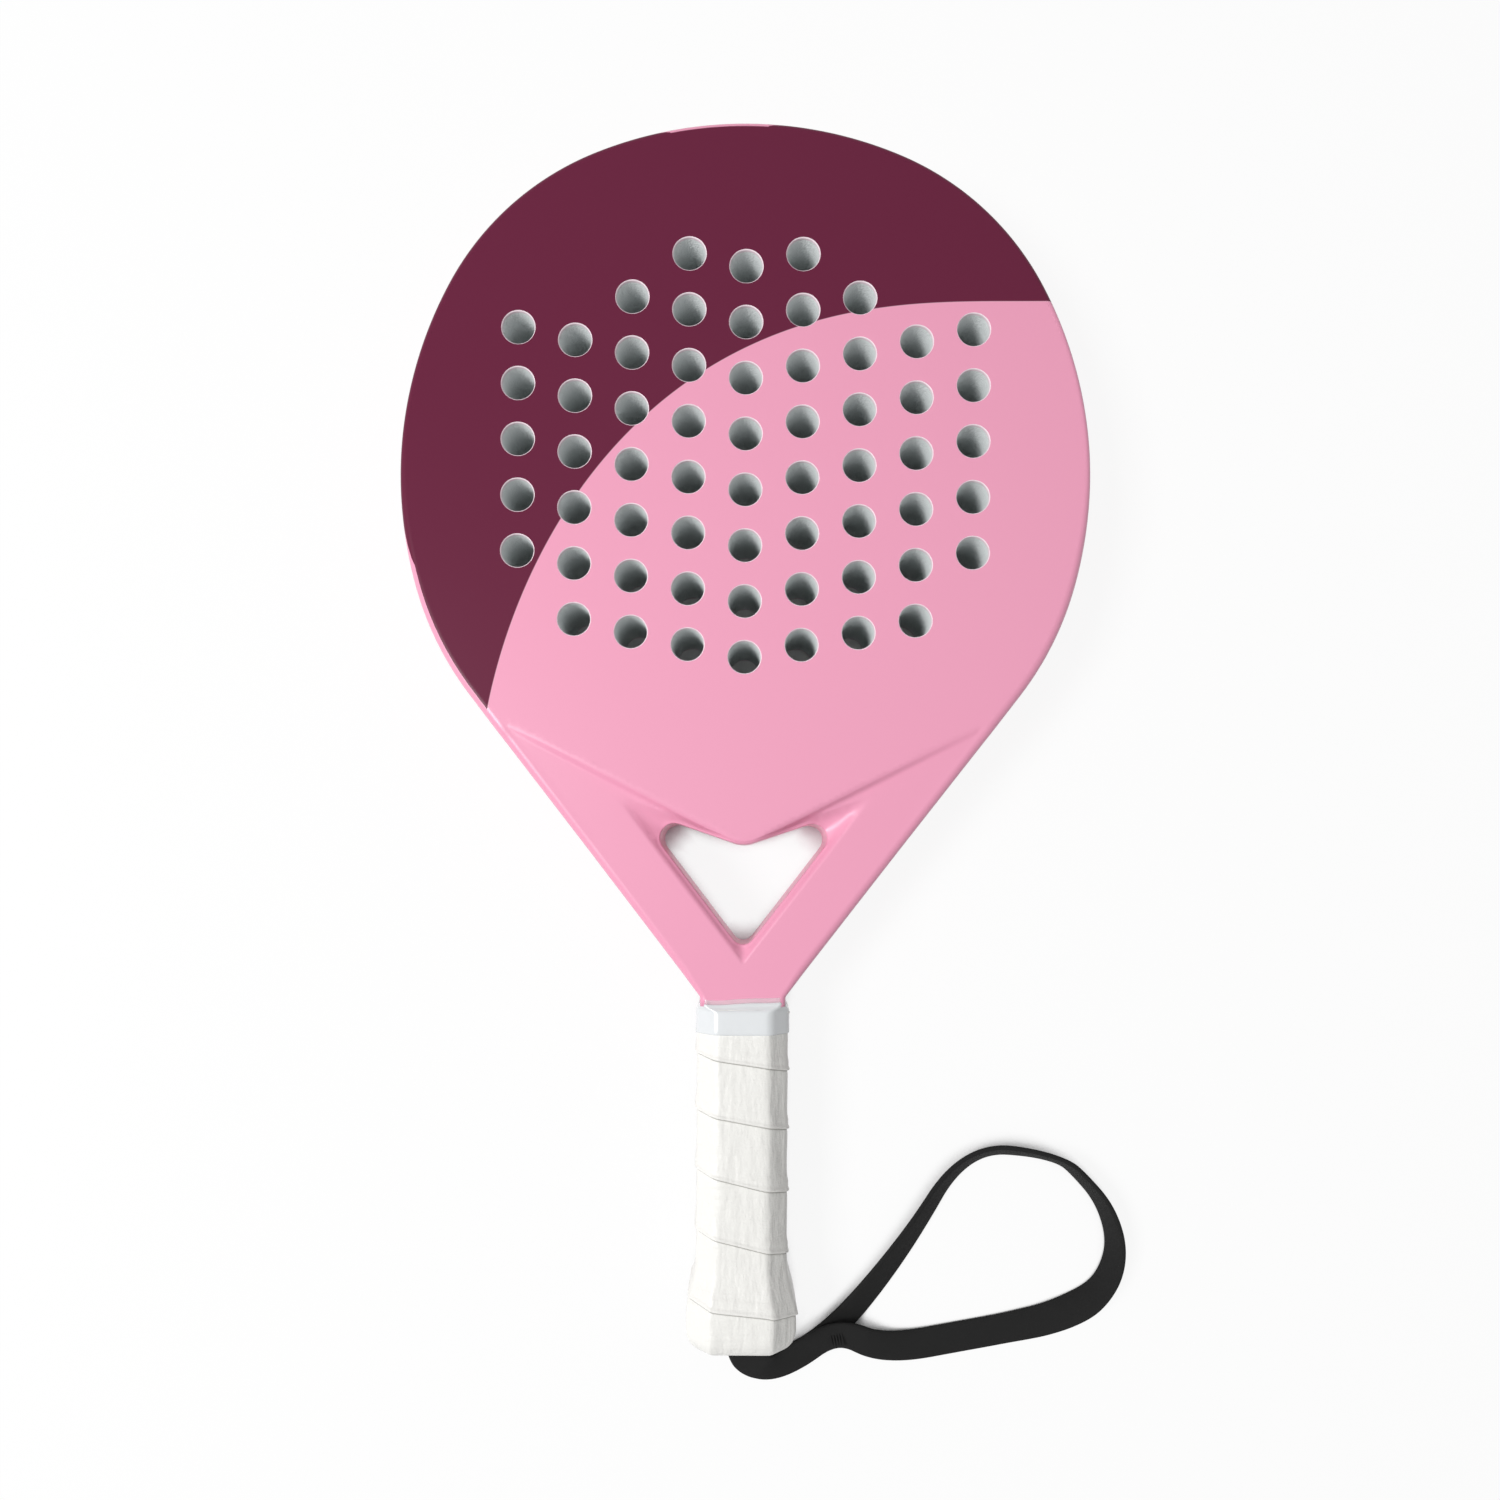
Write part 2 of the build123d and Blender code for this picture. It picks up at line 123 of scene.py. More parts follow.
def mixed(m, first, second, factor):
    """Colour between a first one, which may be a socket, and a second one."""
    mix = node(m, "ShaderNodeMix", data_type="RGBA")
    link(m, factor, mix.inputs["Factor"])
    mix.inputs["B"].default_value = second
    if isinstance(first, tuple):
        mix.inputs["A"].default_value = first
    else:
        link(m, first, mix.inputs["A"])
    return mix.outputs["Result"]


def add_bump(m, height, strength, distance, over=None):
    """Gives the material a bump, over an earlier one where there is one."""
    bump = node(m, "ShaderNodeBump")
    bump.inputs["Strength"].default_value = strength
    bump.inputs["Distance"].default_value = distance
    link(m, height, bump.inputs["Height"])
    if over is not None:
        link(m, over, bump.inputs["Normal"])
    link(m, bump.outputs["Normal"], principled(m).inputs["Normal"])
    return bump.outputs["Normal"]


def seen_rays(m):
    """1 for what the camera sees, also in gloss and through the clear tape, and 0 for light that falls."""
    path = node(m, "ShaderNodeLightPath")
    seen = math_node(m, "MAXIMUM", path.outputs["Is Glossy Ray"], path.outputs["Is Transmission Ray"])
    return math_node(m, "MAXIMUM", path.outputs["Is Camera Ray"], seen)


def ring_faces(one, other, count):
    """Faces between two rings of points, given the number of the first point of each."""
    return [(one + j, one + (j + 1) % count, other + (j + 1) % count, other + j) for j in range(count)]


# ---------------------------------------------------------------- wrist strap
STRAP_WIDTH, STRAP_THICKNESS, BUTT_END, MIDDLE = 12.0, 2.0, -226.0, 19.0
IN_KNOT, RISE = -5.0, 1.15
STRAP_STEP, SEARCH_STEPS, ROLL_WINDOW = 0.75, 120, 19
# distance across, distance past the butt, height, roll of the webbing in degrees
STRAP_ROUTE = (
    (0.0, IN_KNOT, MIDDLE - RISE, 0.0),
    (0.0, 2.6, MIDDLE - RISE, 0.0),
    (5.0, 9.4, 12.0, -6.0),
    (12.6, 14.8, 4.9, -14.0),
    (22.5, 13.1, 2.5, -17.0),
    (32.8, 6.0, 2.9, -21.0),
    (43.3, -4.2, 3.3, -26.0),
    (57.0, -21.4, 4.2, -36.0),
    (70.3, -40.6, 4.9, -47.0),
    (82.1, -60.6, 5.3, -55.0),
    (96.9, -70.1, 5.6, -62.0),
    (114.7, -68.5, 5.8, -69.0),
    (126.5, -65.2, 5.9, -74.0),
    (131.8, -61.4, 5.9, -75.0),
    (143.8, -47.9, 5.9, -74.0),
    (148.7, -29.6, 5.8, -72.0),
    (141.9, -12.9, 5.6, -60.0),
    (125.5, -2.5, 2.8, -15.0),
    (105.5, 2.8, 1.1, 0.0),
    (85.0, 6.6, 1.1, 0.0),
    (66.4, 9.8, 1.8, 0.0),
    (52.7, 8.6, 4.0, 6.0),
    (42.0, 3.0, 6.4, 18.0),
    (32.7, 4.6, 6.4, 21.0),
    (22.3, 11.8, 6.8, 17.0),
    (12.2, 14.8, 9.6, 14.0),
    (5.0, 10.8, 16.2, 7.0),
    (0.0, 3.8, MIDDLE + RISE, 0.0),
    (0.0, IN_KNOT, MIDDLE + RISE, 0.0),
)


def strap_spline():
    curve = bpy.data.curves.new("strap_line", "CURVE")
    curve.dimensions = "3D"
    spline = curve.splines.new("NURBS")
    spline.points.add(len(STRAP_ROUTE) - 1)
    for point, (x, past, z, _) in zip(spline.points, STRAP_ROUTE):
        point.co = (x * MM, (BUTT_END - past) * MM, z * MM, 1.0)
    spline.order_u = 3
    spline.use_endpoint_u = True
    spline.resolution_u = 16
    holder = bpy.data.objects.new("strap_line", curve)
    mesh = bpy.data.meshes.new_from_object(holder)
    line = np.array([v.co for v in mesh.vertices], float) / MM
    bpy.data.meshes.remove(mesh)
    bpy.data.objects.remove(holder)
    bpy.data.curves.remove(curve)
    return line


def resample(line, step):
    run = np.concatenate([[0], np.cumsum(np.linalg.norm(np.diff(line, axis=0), axis=1))])
    at = np.linspace(0, run[-1], int(round(run[-1] / step)) + 1)
    return np.stack([np.interp(at, run, line[:, k]) for k in range(3)], axis=1), at


def strap_frames():
    """Points along the strap, with the way it runs, the way its width lies and the way its face looks."""
    points, at = resample(strap_spline(), STRAP_STEP)
    tangent = np.gradient(points, axis=0)
    tangent /= np.linalg.norm(tangent, axis=1)[:, None]
    control = np.array([(x, BUTT_END - past, z) for x, past, z, _ in STRAP_ROUTE])
    nearest, start = [], 0
    for c in control:
        span = points[start : start + SEARCH_STEPS]
        start += int(np.argmin(np.linalg.norm(span - c, axis=1)))
        nearest.append(at[start])
    nearest[-1] = at[-1]
    roll = np.interp(at, nearest, [r for *_, r in STRAP_ROUTE])
    kernel = np.hanning(ROLL_WINDOW)
    kernel /= kernel.sum()
    roll = np.radians(np.convolve(np.pad(roll, ROLL_WINDOW // 2, mode="edge"), kernel, mode="valid"))
    side = np.cross(tangent, (0.0, 0.0, 1.0))
    side /= np.linalg.norm(side, axis=1)[:, None]
    up = np.cross(side, tangent)
    across = np.cos(roll)[:, None] * side + np.sin(roll)[:, None] * up
    face = -np.sin(roll)[:, None] * side + np.cos(roll)[:, None] * up
    return points, at, tangent, across, face


strap_points, strap_at, strap_tangent, strap_across, strap_face = strap_frames()


def strap_section():
    """Outline of the webbing: flat faces and thin rounded selvedges, as (across, through) pairs."""
    half, thick = STRAP_WIDTH / 2, STRAP_THICKNESS / 2
    edge = 0.9
    steps = 5
    right = []
    for i in range(steps + 1):
        a = math.radians(90 - 180 * i / steps)
        right.append((half - edge + edge * math.cos(a), thick * 0.92 * math.sin(a)))
    stations = (-3.4, -1.7, 0.0, 1.7, 3.4)
    flat = [(x, thick * (0.97 + 0.03 * math.cos(math.pi * x / (half - edge)))) for x in stations]
    left = [(-x, -z) for x, z in right]
    below = [(-x, -z) for x, z in flat]
    return flat + right + below + left


section = strap_section()
verts, uvs, faces = [], [], []
count = len(section)
for i, (p, t, w, f) in enumerate(zip(strap_points, strap_tangent, strap_across, strap_face)):
    for x, z in section:
        verts.append(p + w * x + f * z)
        uvs.append((x, strap_at[i]))
for i in range(len(strap_points) - 1):
    faces.extend(ring_faces(i * count, (i + 1) * count, count))
last = (len(strap_points) - 1) * count
faces.append(tuple(range(count)))
faces.append(tuple(last + j for j in reversed(range(count))))
strap = new_mesh("strap_webbing", verts, faces)
set_uv(strap, uvs)
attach(strap, "root")
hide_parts("wrist_strap")


# ---------------------------------------------------------------- outline of head, arms and neck
HALF_WIDTH, TOP, THICK = 125.95, 226.0, 38.0
SIDE_R, SHOULDER_R, CHEEK_R = 149.5, 104.6, 115.7
SIDE_UP, SHOULDER_TURN, SIDE_DOWN, ARM = 28.1, 39.3, 15.4, 37.48
NECK_HALF, NECK_END = 15.8, -96.66
ARM_COS, ARM_SIN = math.cos(math.radians(ARM)), math.sin(math.radians(ARM))


def along_angle(centre, radius, first, last, step):
    count = max(1, int(round(abs(math.radians(last - first)) * radius / step)))
    for i in range(count):
        a = math.radians(first + (last - first) * i / count)
        n = (math.cos(a), math.sin(a))
        yield (centre[0] + radius * n[0], centre[1] + radius * n[1]), n


def racket_edge(step=2.0):
    """Right half of the edge, from the crown down to the neck's end, as points with outward normals."""
    turned = SIDE_UP + SHOULDER_TURN

    def short(a, b):
        return math.cos(math.radians(a)) - math.cos(math.radians(b))

    def far(a, b):
        return math.sin(math.radians(b)) - math.sin(math.radians(a))

    crown_r = HALF_WIDTH - SIDE_R * short(0, SIDE_UP) - SHOULDER_R * short(SIDE_UP, turned)
    crown_r /= short(turned, 90)
    widest = TOP - SIDE_R * far(0, SIDE_UP) - SHOULDER_R * far(SIDE_UP, turned) - crown_r * far(turned, 90)
    side = (HALF_WIDTH - SIDE_R, widest)

    def shifted(centre, angle, length):
        a = math.radians(angle)
        return (centre[0] + length * math.cos(a), centre[1] + length * math.sin(a))

    shoulder = shifted(side, SIDE_UP, SIDE_R - SHOULDER_R)
    crown = shifted(shoulder, turned, SHOULDER_R - crown_r)
    cheek = shifted(side, -SIDE_DOWN, SIDE_R - CHEEK_R)
    edge = list(along_angle(crown, crown_r, 90, turned, step))
    edge += along_angle(shoulder, SHOULDER_R, turned, SIDE_UP, step)
    edge += along_angle(side, SIDE_R, SIDE_UP, -SIDE_DOWN, step)
    edge += along_angle(cheek, CHEEK_R, -SIDE_DOWN, -ARM, step)
    hip = shifted(cheek, -ARM, CHEEK_R)
    bend = 2.0
    cut = bend * math.tan(math.radians(ARM / 2))
    run = (hip[0] - NECK_HALF) / ARM_SIN
    corner = (NECK_HALF, hip[1] - run * ARM_COS)
    count = int(round((run - cut) / step))
    for i in range(count):
        d = (run - cut) * i / count
        edge.append(((hip[0] - d * ARM_SIN, hip[1] - d * ARM_COS), (ARM_COS, -ARM_SIN)))
    centre = (NECK_HALF + bend, corner[1] - cut)
    for i in range(8):
        a = math.radians(-ARM + ARM * i / 8)
        n = (math.cos(a), math.sin(a))
        edge.append(((centre[0] - bend * n[0], centre[1] - bend * n[1]), n))
    edge.append(((NECK_HALF, corner[1] - cut), (1.0, 0.0)))
    edge.append(((NECK_HALF, NECK_END), (1.0, 0.0)))
    return edge


half_edge = racket_edge()
edge_points = np.array([p for p, _ in half_edge] + [(-p[0], p[1]) for p, _ in reversed(half_edge[1:])])
edge_normals = np.array([n for _, n in half_edge] + [(-n[0], n[1]) for _, n in reversed(half_edge[1:])])
EDGE = len(edge_points)

# ---------------------------------------------------------------- heights of the front surface
CREASE_ANGLE = math.radians(27.0)
CREASE_TAN, CREASE_COS = math.tan(CREASE_ANGLE), math.cos(CREASE_ANGLE)
CREASE_TIP, CREASE_ROUND = -37.47, 11.2
STEP_WIDTH, STEP_LEAD = 2.3, 0.25
CREASE_CENTRE = CREASE_TIP + CREASE_ROUND / CREASE_COS
OPENING_FOOT, OPENING_TOP = -76.72, -37.57
RISE_ANGLE = math.radians(18.8)
RISE_TAN, RISE_COS = math.tan(RISE_ANGLE), math.cos(RISE_ANGLE)
BEVEL_WIDTH, BEVEL_DROP, BEVEL_CURVE, CORNER_EASE = 2.6, 2.4, 1.25, 0.9
# inside the opening the bevel goes on at a share of its slope, and towards the corners its drop fades
POCKET_SHARE = 0.4
FADE_START, FADE_LENGTH, FADE_SHARE = 30, 15, 0.75
RAMP_START, RAMP_BREAK, RAMP_EASE = 11.33, -34.67, 1.6
UPPER_SLOPE, LOWER_SLOPE = 3.4 / 46.0, 1.6 / 62.0


def smooth(u):
    u = np.clip(u, 0, 1)
    return u * u * (3 - 2 * u)


def soft_over(u, width):
    return width * np.logaddexp(0.0, u / width)


def ramp_height(y):
    """Height of the arms and neck, which slope down from the head, less steeply below the opening's top."""
    upper = UPPER_SLOPE * soft_over(RAMP_START - y, RAMP_EASE)
    return THICK - upper + (UPPER_SLOPE - LOWER_SLOPE) * soft_over(RAMP_BREAK - y, RAMP_EASE)


def below_crease(x, y):
    """Distance below the tongue's V edge, negative on the tongue."""
    x = np.abs(x)
    straight = (CREASE_TIP + x * CREASE_TAN - y) * CREASE_COS
    rounded = np.hypot(x, y - CREASE_CENTRE) - CREASE_ROUND
    in_round = x < (CREASE_CENTRE - y) * CREASE_TAN
    return np.where(in_round, rounded, straight)


def outside_opening(x, y):
    """Distance outside the opening's arm side and top side, eased where the two meet at its outer corners."""
    x = np.abs(x)
    arm = x * ARM_COS - (y - OPENING_FOOT) * ARM_SIN
    top = (y - OPENING_TOP - x * RISE_TAN) * RISE_COS
    return CORNER_EASE * np.logaddexp(arm / CORNER_EASE, top / CORNER_EASE)


def front_height(x, y):
    """Height of the front: the flat head and tongue, the step below the V edge, the ramp and its bevel."""
    x, y = np.asarray(x, float), np.asarray(y, float)
    step = smooth((below_crease(x, y) + STEP_LEAD) / STEP_WIDTH)
    t = 1 - outside_opening(x, y) / BEVEL_WIDTH
    drop = BEVEL_DROP * np.where(t > 1, 1 + POCKET_SHARE * (t - 1), np.clip(t, 0, 1) ** BEVEL_CURVE)
    drop = drop * (1 - FADE_SHARE * np.clip((np.abs(x) - FADE_START) / FADE_LENGTH, 0, 1))
    return THICK * (1 - step) + (ramp_height(y) - drop) * step


# ---------------------------------------------------------------- throat opening
def rounded_polygon(corners, radii, arc_count, side_count):
    """Points of a polygon with rounded corners; arc_count and side_count say how many a length gets."""
    points, ends = [], []
    n = len(corners)
    c = [np.array(p, float) for p in corners]
    for i in range(n):
        a, b = c[i - 1] - c[i], c[(i + 1) % n] - c[i]
        shorter = min(np.linalg.norm(a), np.linalg.norm(b))
        a, b = a / np.linalg.norm(a), b / np.linalg.norm(b)
        half = math.acos(float(np.clip(a @ b, -1, 1))) / 2
        r = min(radii[i], 0.49 * shorter * math.tan(half))
        cut = r / math.tan(half)
        centre = c[i] + (a + b) / np.linalg.norm(a + b) * r / math.sin(half)
        ends.append((c[i] + a * cut, c[i] + b * cut, centre, r))
    for i in range(n):
        first, last, centre, r = ends[i]
        a0, a1 = math.atan2(*(first - centre)[::-1]), math.atan2(*(last - centre)[::-1])
        sweep = (a1 - a0 + math.pi) % (2 * math.pi) - math.pi
        count = arc_count(abs(sweep) * r)
        for k in range(count):
            a = a0 + sweep * k / count
            points.append(centre + r * np.array((math.cos(a), math.sin(a))))
        following = ends[(i + 1) % n][0]
        count = side_count(np.linalg.norm(following - last))
        for k in range(count):
            points.append(last + (following - last) * k / count)
    return np.array(points)


def ways_along(points):
    """Unit vectors along a closed line at its points."""
    way = np.roll(points, -1, axis=0) - np.roll(points, 1, axis=0)
    return way / np.linalg.norm(way, axis=1)[:, None]


def opening_corner(foot, top):
    """Where an arm side, given its foot's y, meets a top side, given its y in the middle."""
    x = (top - foot) * (ARM_SIN / ARM_COS) / (1 - RISE_TAN * ARM_SIN / ARM_COS)
    return x, top + x * RISE_TAN


corner_x, corner_y = opening_corner(OPENING_FOOT, OPENING_TOP)
FOOT_R, CORNER_R, TONGUE_R, LOOP_STEP = 4.4, 5.4, 12.0, 1.2
opening_points = rounded_polygon(
    [(0, OPENING_FOOT), (corner_x, corner_y), (0, OPENING_TOP), (-corner_x, corner_y)],
    [FOOT_R, CORNER_R, TONGUE_R, CORNER_R],
    lambda arc: max(3, int(round(arc / (LOOP_STEP * 0.6)))),
    lambda side: max(1, int(round(side / LOOP_STEP))),
)
opening_way = ways_along(opening_points)
opening_normals = np.stack([opening_way[:, 1], -opening_way[:, 0]], axis=1)
OPENING = len(opening_points)

# ---------------------------------------------------------------- drilled holes
HOLE_R, HOLE_EASE, SKIN = 5.85, 0.4, 1.2
COLUMN_PITCH, ROW_PITCH, COLUMN_RISE, LOWEST_ROW = 20.7, 20.3, 4.5, 31.14
# first row and number of holes of each column, from the middle outwards
COLUMNS = ((0, 8), (0, 8), (0, 7), (0, 6), (1, 5))
hole_places = []
for column, (low, count) in enumerate(COLUMNS):
    for row in range(low, low + count):
        y = LOWEST_ROW + row * ROW_PITCH + column * COLUMN_RISE
        for side in (-1, 1) if column else (1,):
            hole_places.append((side * column * COLUMN_PITCH, y))
hole_places = np.array(hole_places)
HOLE_STEPS = 40
hole_turn = np.linspace(0, 2 * math.pi, HOLE_STEPS, endpoint=False)
hole_ring = np.stack([np.cos(hole_turn), np.sin(hole_turn)], axis=1)

# ---------------------------------------------------------------- painted body: one surface, split later
EASE = 0.6
FACE_IN, WEB_IN, GRID_IN = 0.4, 1.3, 2.3
# the edge is rounded more low on the head and down the arms than over the crown and at the neck
RIM_R, LOW_RIM_R = 2.0, 3.1
LOW_FROM, LOW_OVER, NECK_FROM, NECK_OVER = 115, 60, -94, 12
low_share = smooth((LOW_FROM - edge_points[:, 1]) / LOW_OVER)
low_share *= smooth((edge_points[:, 1] - NECK_FROM) / NECK_OVER)
rim_r = (RIM_R + (LOW_RIM_R - RIM_R) * low_share)[:, None]


def inside(points, loop):
    """Even-odd test of many points in one closed loop."""
    x, y = points[:, 0], points[:, 1]
    crossings = np.zeros(len(points), int)
    for (x0, y0), (x1, y1) in zip(loop, np.roll(loop, -1, axis=0)):
        if y0 == y1:
            continue
        between = (y >= min(y0, y1)) & (y < max(y0, y1))
        crossings += between & (x < x0 + (y - y0) * (x1 - x0) / (y1 - y0))
    return crossings % 2 == 1


flat_points, flat_edges = [], []


def add_loop(points, closed=True):
    first = len(flat_points)
    flat_points.extend((float(x), float(y)) for x, y in points)
    n = len(points)
    flat_edges.extend((first + i, first + i + 1) for i in range(n - 1))
    if closed:
        flat_edges.append((first + n - 1, first))
    return list(range(first, first + n))


rim_top_loop = edge_points - rim_r * edge_normals
face_loop = rim_top_loop - FACE_IN * edge_normals
web_loop = rim_top_loop - WEB_IN * edge_normals
foot = np.abs(edge_points[:, 1] - NECK_END) < 0.01
for loop in (face_loop, web_loop, rim_top_loop):
    loop[foot, 1] = NECK_END
web_ids = add_loop(web_loop)
ease_loop = opening_points + EASE * opening_normals
ease_ids = add_loop(ease_loop)
# one more line just outside each opening keeps the triangles there even
OPENING_GUARD, HOLE_GUARD = 1.4, 1.6
add_loop(opening_points + OPENING_GUARD * opening_normals)
for place in hole_places:
    add_loop(place + hole_ring * (HOLE_R + HOLE_EASE))
    flat_points.extend((float(x), float(y)) for x, y in place + hole_ring[::2] * (HOLE_R + HOLE_GUARD))

# the tongue's V edge, from web loop to web loop
right = web_loop[: len(half_edge)]
start = int(np.argmin(np.abs(below_crease(right[:, 0], right[:, 1])) + 1000 * (right[:, 1] < -20)))
end_x, end_y = web_loop[start]
CREST_STEP, CREST_EASE = 1.1, 12
round_reach = CREASE_ROUND * math.sin(CREASE_ANGLE)
crest = []
for x in np.arange(-end_x + CREST_STEP, end_x - 1.0, CREST_STEP):
    if abs(x) < round_reach:
        crest.append((x, CREASE_CENTRE - math.sqrt(CREASE_ROUND**2 - x**2)))
    else:
        crest.append((x, CREASE_TIP + abs(x) * CREASE_TAN))
crest = np.array(crest)
# ease the ends of the crest onto the two loop points
lift = end_y - (CREASE_TIP + end_x * CREASE_TAN)
crest[:, 1] += lift * np.clip((np.abs(crest[:, 0]) - end_x + CREST_EASE) / CREST_EASE, 0, 1)
crest_ids = add_loop(crest, closed=False)
flat_edges.append((web_ids[start], crest_ids[-1]))
flat_edges.append((web_ids[(EDGE - start) % EDGE], crest_ids[0]))

# offset lines that carry the step and the throat's bevel
CLEAR_OF_OPENING, LINES_END, BEVEL_STEP, CLEAR_OF_CREASE = 1.6, 92, 1.3, 0.4
for offset in (0.7, 1.4, 2.1, 2.8, 3.6):
    line = [(x, y - offset / CREASE_COS) for x, y in crest]
    flat_points.extend(
        p for p in line if outside_opening(p[0], p[1]) > CLEAR_OF_OPENING and abs(p[0]) < LINES_END
    )
for offset in (2.0, 2.6, 3.3):
    foot_y = OPENING_FOOT - offset / ARM_SIN
    top_y = OPENING_TOP + offset / RISE_COS
    cx, cy = opening_corner(foot_y, top_y)
    for s in (-1, 1):
        for a, b in (((0, foot_y), (s * cx, cy)), ((s * cx, cy), (0, top_y))):
            length = math.hypot(b[0] - a[0], b[1] - a[1])
            k = int(length / BEVEL_STEP)
            for i in range(1, k):
                p = (a[0] + (b[0] - a[0]) * i / k, a[1] + (b[1] - a[1]) * i / k)
                if below_crease(p[0], p[1]) > CLEAR_OF_CREASE:
                    flat_points.append((float(p[0]), float(p[1])))
    flat_points.extend([(0.0, foot_y), (cx, cy), (-cx, cy)])

# a triangular grid between the lines: fine round the throat, coarse on the flat head
FINE, COARSE, FINE_TO, GRID_HALF, TRIANGLE_RISE, TOO_NEAR = 1.5, 4.0, 20.0, 125.0, 0.866, 0.55
fixed = np.array(flat_points)
grid = []
for spacing, low, high in ((FINE, -96.0, FINE_TO), (COARSE, FINE_TO, TOP)):
    for k, y in enumerate(np.arange(low + spacing / 2, high, spacing * TRIANGLE_RISE)):
        shift = spacing / 2 if k % 2 else 0.0
        grid.extend((x, y, spacing) for x in np.arange(-GRID_HALF + shift, GRID_HALF, spacing))
grid = np.array(grid)
keep = inside(grid[:, :2], edge_points - (rim_r + GRID_IN) * edge_normals)
grid = grid[keep]
cell = 5.0
buckets = {}
for p in fixed:
    buckets.setdefault((int(p[0] // cell), int(p[1] // cell)), []).append(p)
for x, y, spacing in grid:
    i, j = int(x // cell), int(y // cell)
    if any(
        (x - p[0]) ** 2 + (y - p[1]) ** 2 < (TOO_NEAR * spacing) ** 2
        for a in (i - 1, i, i + 1)
        for b in (j - 1, j, j + 1)
        for p in buckets.get((a, b), ())
    ):
        continue
    flat_points.append((float(x), float(y)))

made = delaunay_2d_cdt([Vector(p) for p in flat_points], flat_edges, [], 0, 1e-5)
flat_verts = np.array([(v.x, v.y) for v in made[0]])
triangles = np.array(made[2], int)
new_id = {}
for new, olds in enumerate(made[3]):
    for old in olds:
        new_id[old] = new
middle = flat_verts[triangles].mean(1)
keep = inside(middle, web_loop) & ~inside(middle, ease_loop)
for place in hole_places:
    keep &= np.hypot(*(middle - place).T) > HOLE_R + HOLE_EASE - 0.02
triangles, middle = triangles[keep], middle[keep]
a, b, c = (flat_verts[triangles[:, i]] for i in range(3))
area = (b[:, 0] - a[:, 0]) * (c[:, 1] - a[:, 1]) - (b[:, 1] - a[:, 1]) * (c[:, 0] - a[:, 0])
triangles[area < 0] = triangles[area < 0][:, ::-1]

surface, kinds = [], []  # faces of the front with the piece that each belongs to
body_verts = [(x, y, z) for (x, y), z in zip(flat_verts, front_height(flat_verts[:, 0], flat_verts[:, 1]))]
on_tongue = below_crease(middle[:, 0], middle[:, 1]) < 0
# the eased ends of the crest
high = np.interp(np.abs(middle[:, 0]), crest[crest[:, 0] >= 0][:, 0], crest[crest[:, 0] >= 0][:, 1])
near_end = np.abs(middle[:, 0]) > end_x - CREST_EASE - 2
on_tongue = np.where(near_end & (np.abs(middle[:, 0]) <= end_x), middle[:, 1] > high, on_tongue)
on_tongue |= middle[:, 1] > end_y
for triangle, tongue in zip(triangles, on_tongue):
    surface.append(tuple(int(i) for i in triangle))
    kinds.append("face" if tongue else "body")


def ring_of(points, height):
    """Adds a ring of points at their heights and gives their numbers."""
    first = len(body_verts)
    body_verts.extend((float(x), float(y), float(z)) for (x, y), z in zip(points, height))
    return list(range(first, first + len(points)))


def strip(upper, lower, kind_of):
    """Adds a closed strip of faces between two rings, each face with its kind."""
    n = len(upper)
    for i in range(n):
        j = (i + 1) % n
        surface.append((upper[i], upper[j], lower[j], lower[i]))
        kinds.append(kind_of(i))


def face_or_body(i):
    """Which piece the edge's faces belong to: the laminate above the crest's ends, the body below them."""
    j = (i + 1) % EDGE
    return "face" if min(web_loop[i][1], web_loop[j][1]) >= end_y - 1e-6 else "body"


web_ring = [new_id[i] for i in web_ids]
edge_heights = front_height(web_loop[:, 0], web_loop[:, 1])
face_ring = ring_of(face_loop, edge_heights)
rim_ring = ring_of(rim_top_loop, edge_heights)
strip(web_ring, face_ring, face_or_body)
strip(face_ring, rim_ring, lambda i: "edge" if face_or_body(i) == "face" else "body")
above = rim_ring
for degrees in (75, 60, 45, 30, 15, 0):
    a = math.radians(degrees)
    points = edge_points - rim_r * (1 - math.cos(a)) * edge_normals
    points[foot, 1] = NECK_END
    ring = ring_of(points, edge_heights - rim_r[:, 0] * (1 - math.sin(a)))
    strip(above, ring, lambda i: "fillet")
    above = ring
waist_front = ring_of(edge_points, np.full(EDGE, THICK / 2))
strip(above, waist_front, lambda i: "rim")

ease_ring = [new_id[i] for i in ease_ids]
above = ease_ring
ease_heights = front_height(ease_loop[:, 0], ease_loop[:, 1])
for degrees in (60, 30, 0):
    a = math.radians(degrees)
    points = opening_points + EASE * (1 - math.cos(a)) * opening_normals
    ring = ring_of(points, ease_heights - EASE * (1 - math.sin(a)))
    strip(above, ring, lambda i: "wall")
    above = ring
waist_opening = ring_of(opening_points, np.full(OPENING, THICK / 2))
strip(above, waist_opening, lambda i: "wall")

body_verts = np.array(body_verts)
waist = set(waist_front) | set(waist_opening)
# the back is the front's mirror image, and the two share the points at mid-thickness
back_id = {}
all_verts = [tuple(v) for v in body_verts]
for i, v in enumerate(body_verts):
    if i in waist:
        back_id[i] = i
    else:
        back_id[i] = len(all_verts)
        all_verts.append((v[0], v[1], THICK - v[2]))
all_faces = list(surface) + [tuple(back_id[i] for i in reversed(f)) for f in surface]
all_kinds = kinds + ["back_" + k for k in kinds]


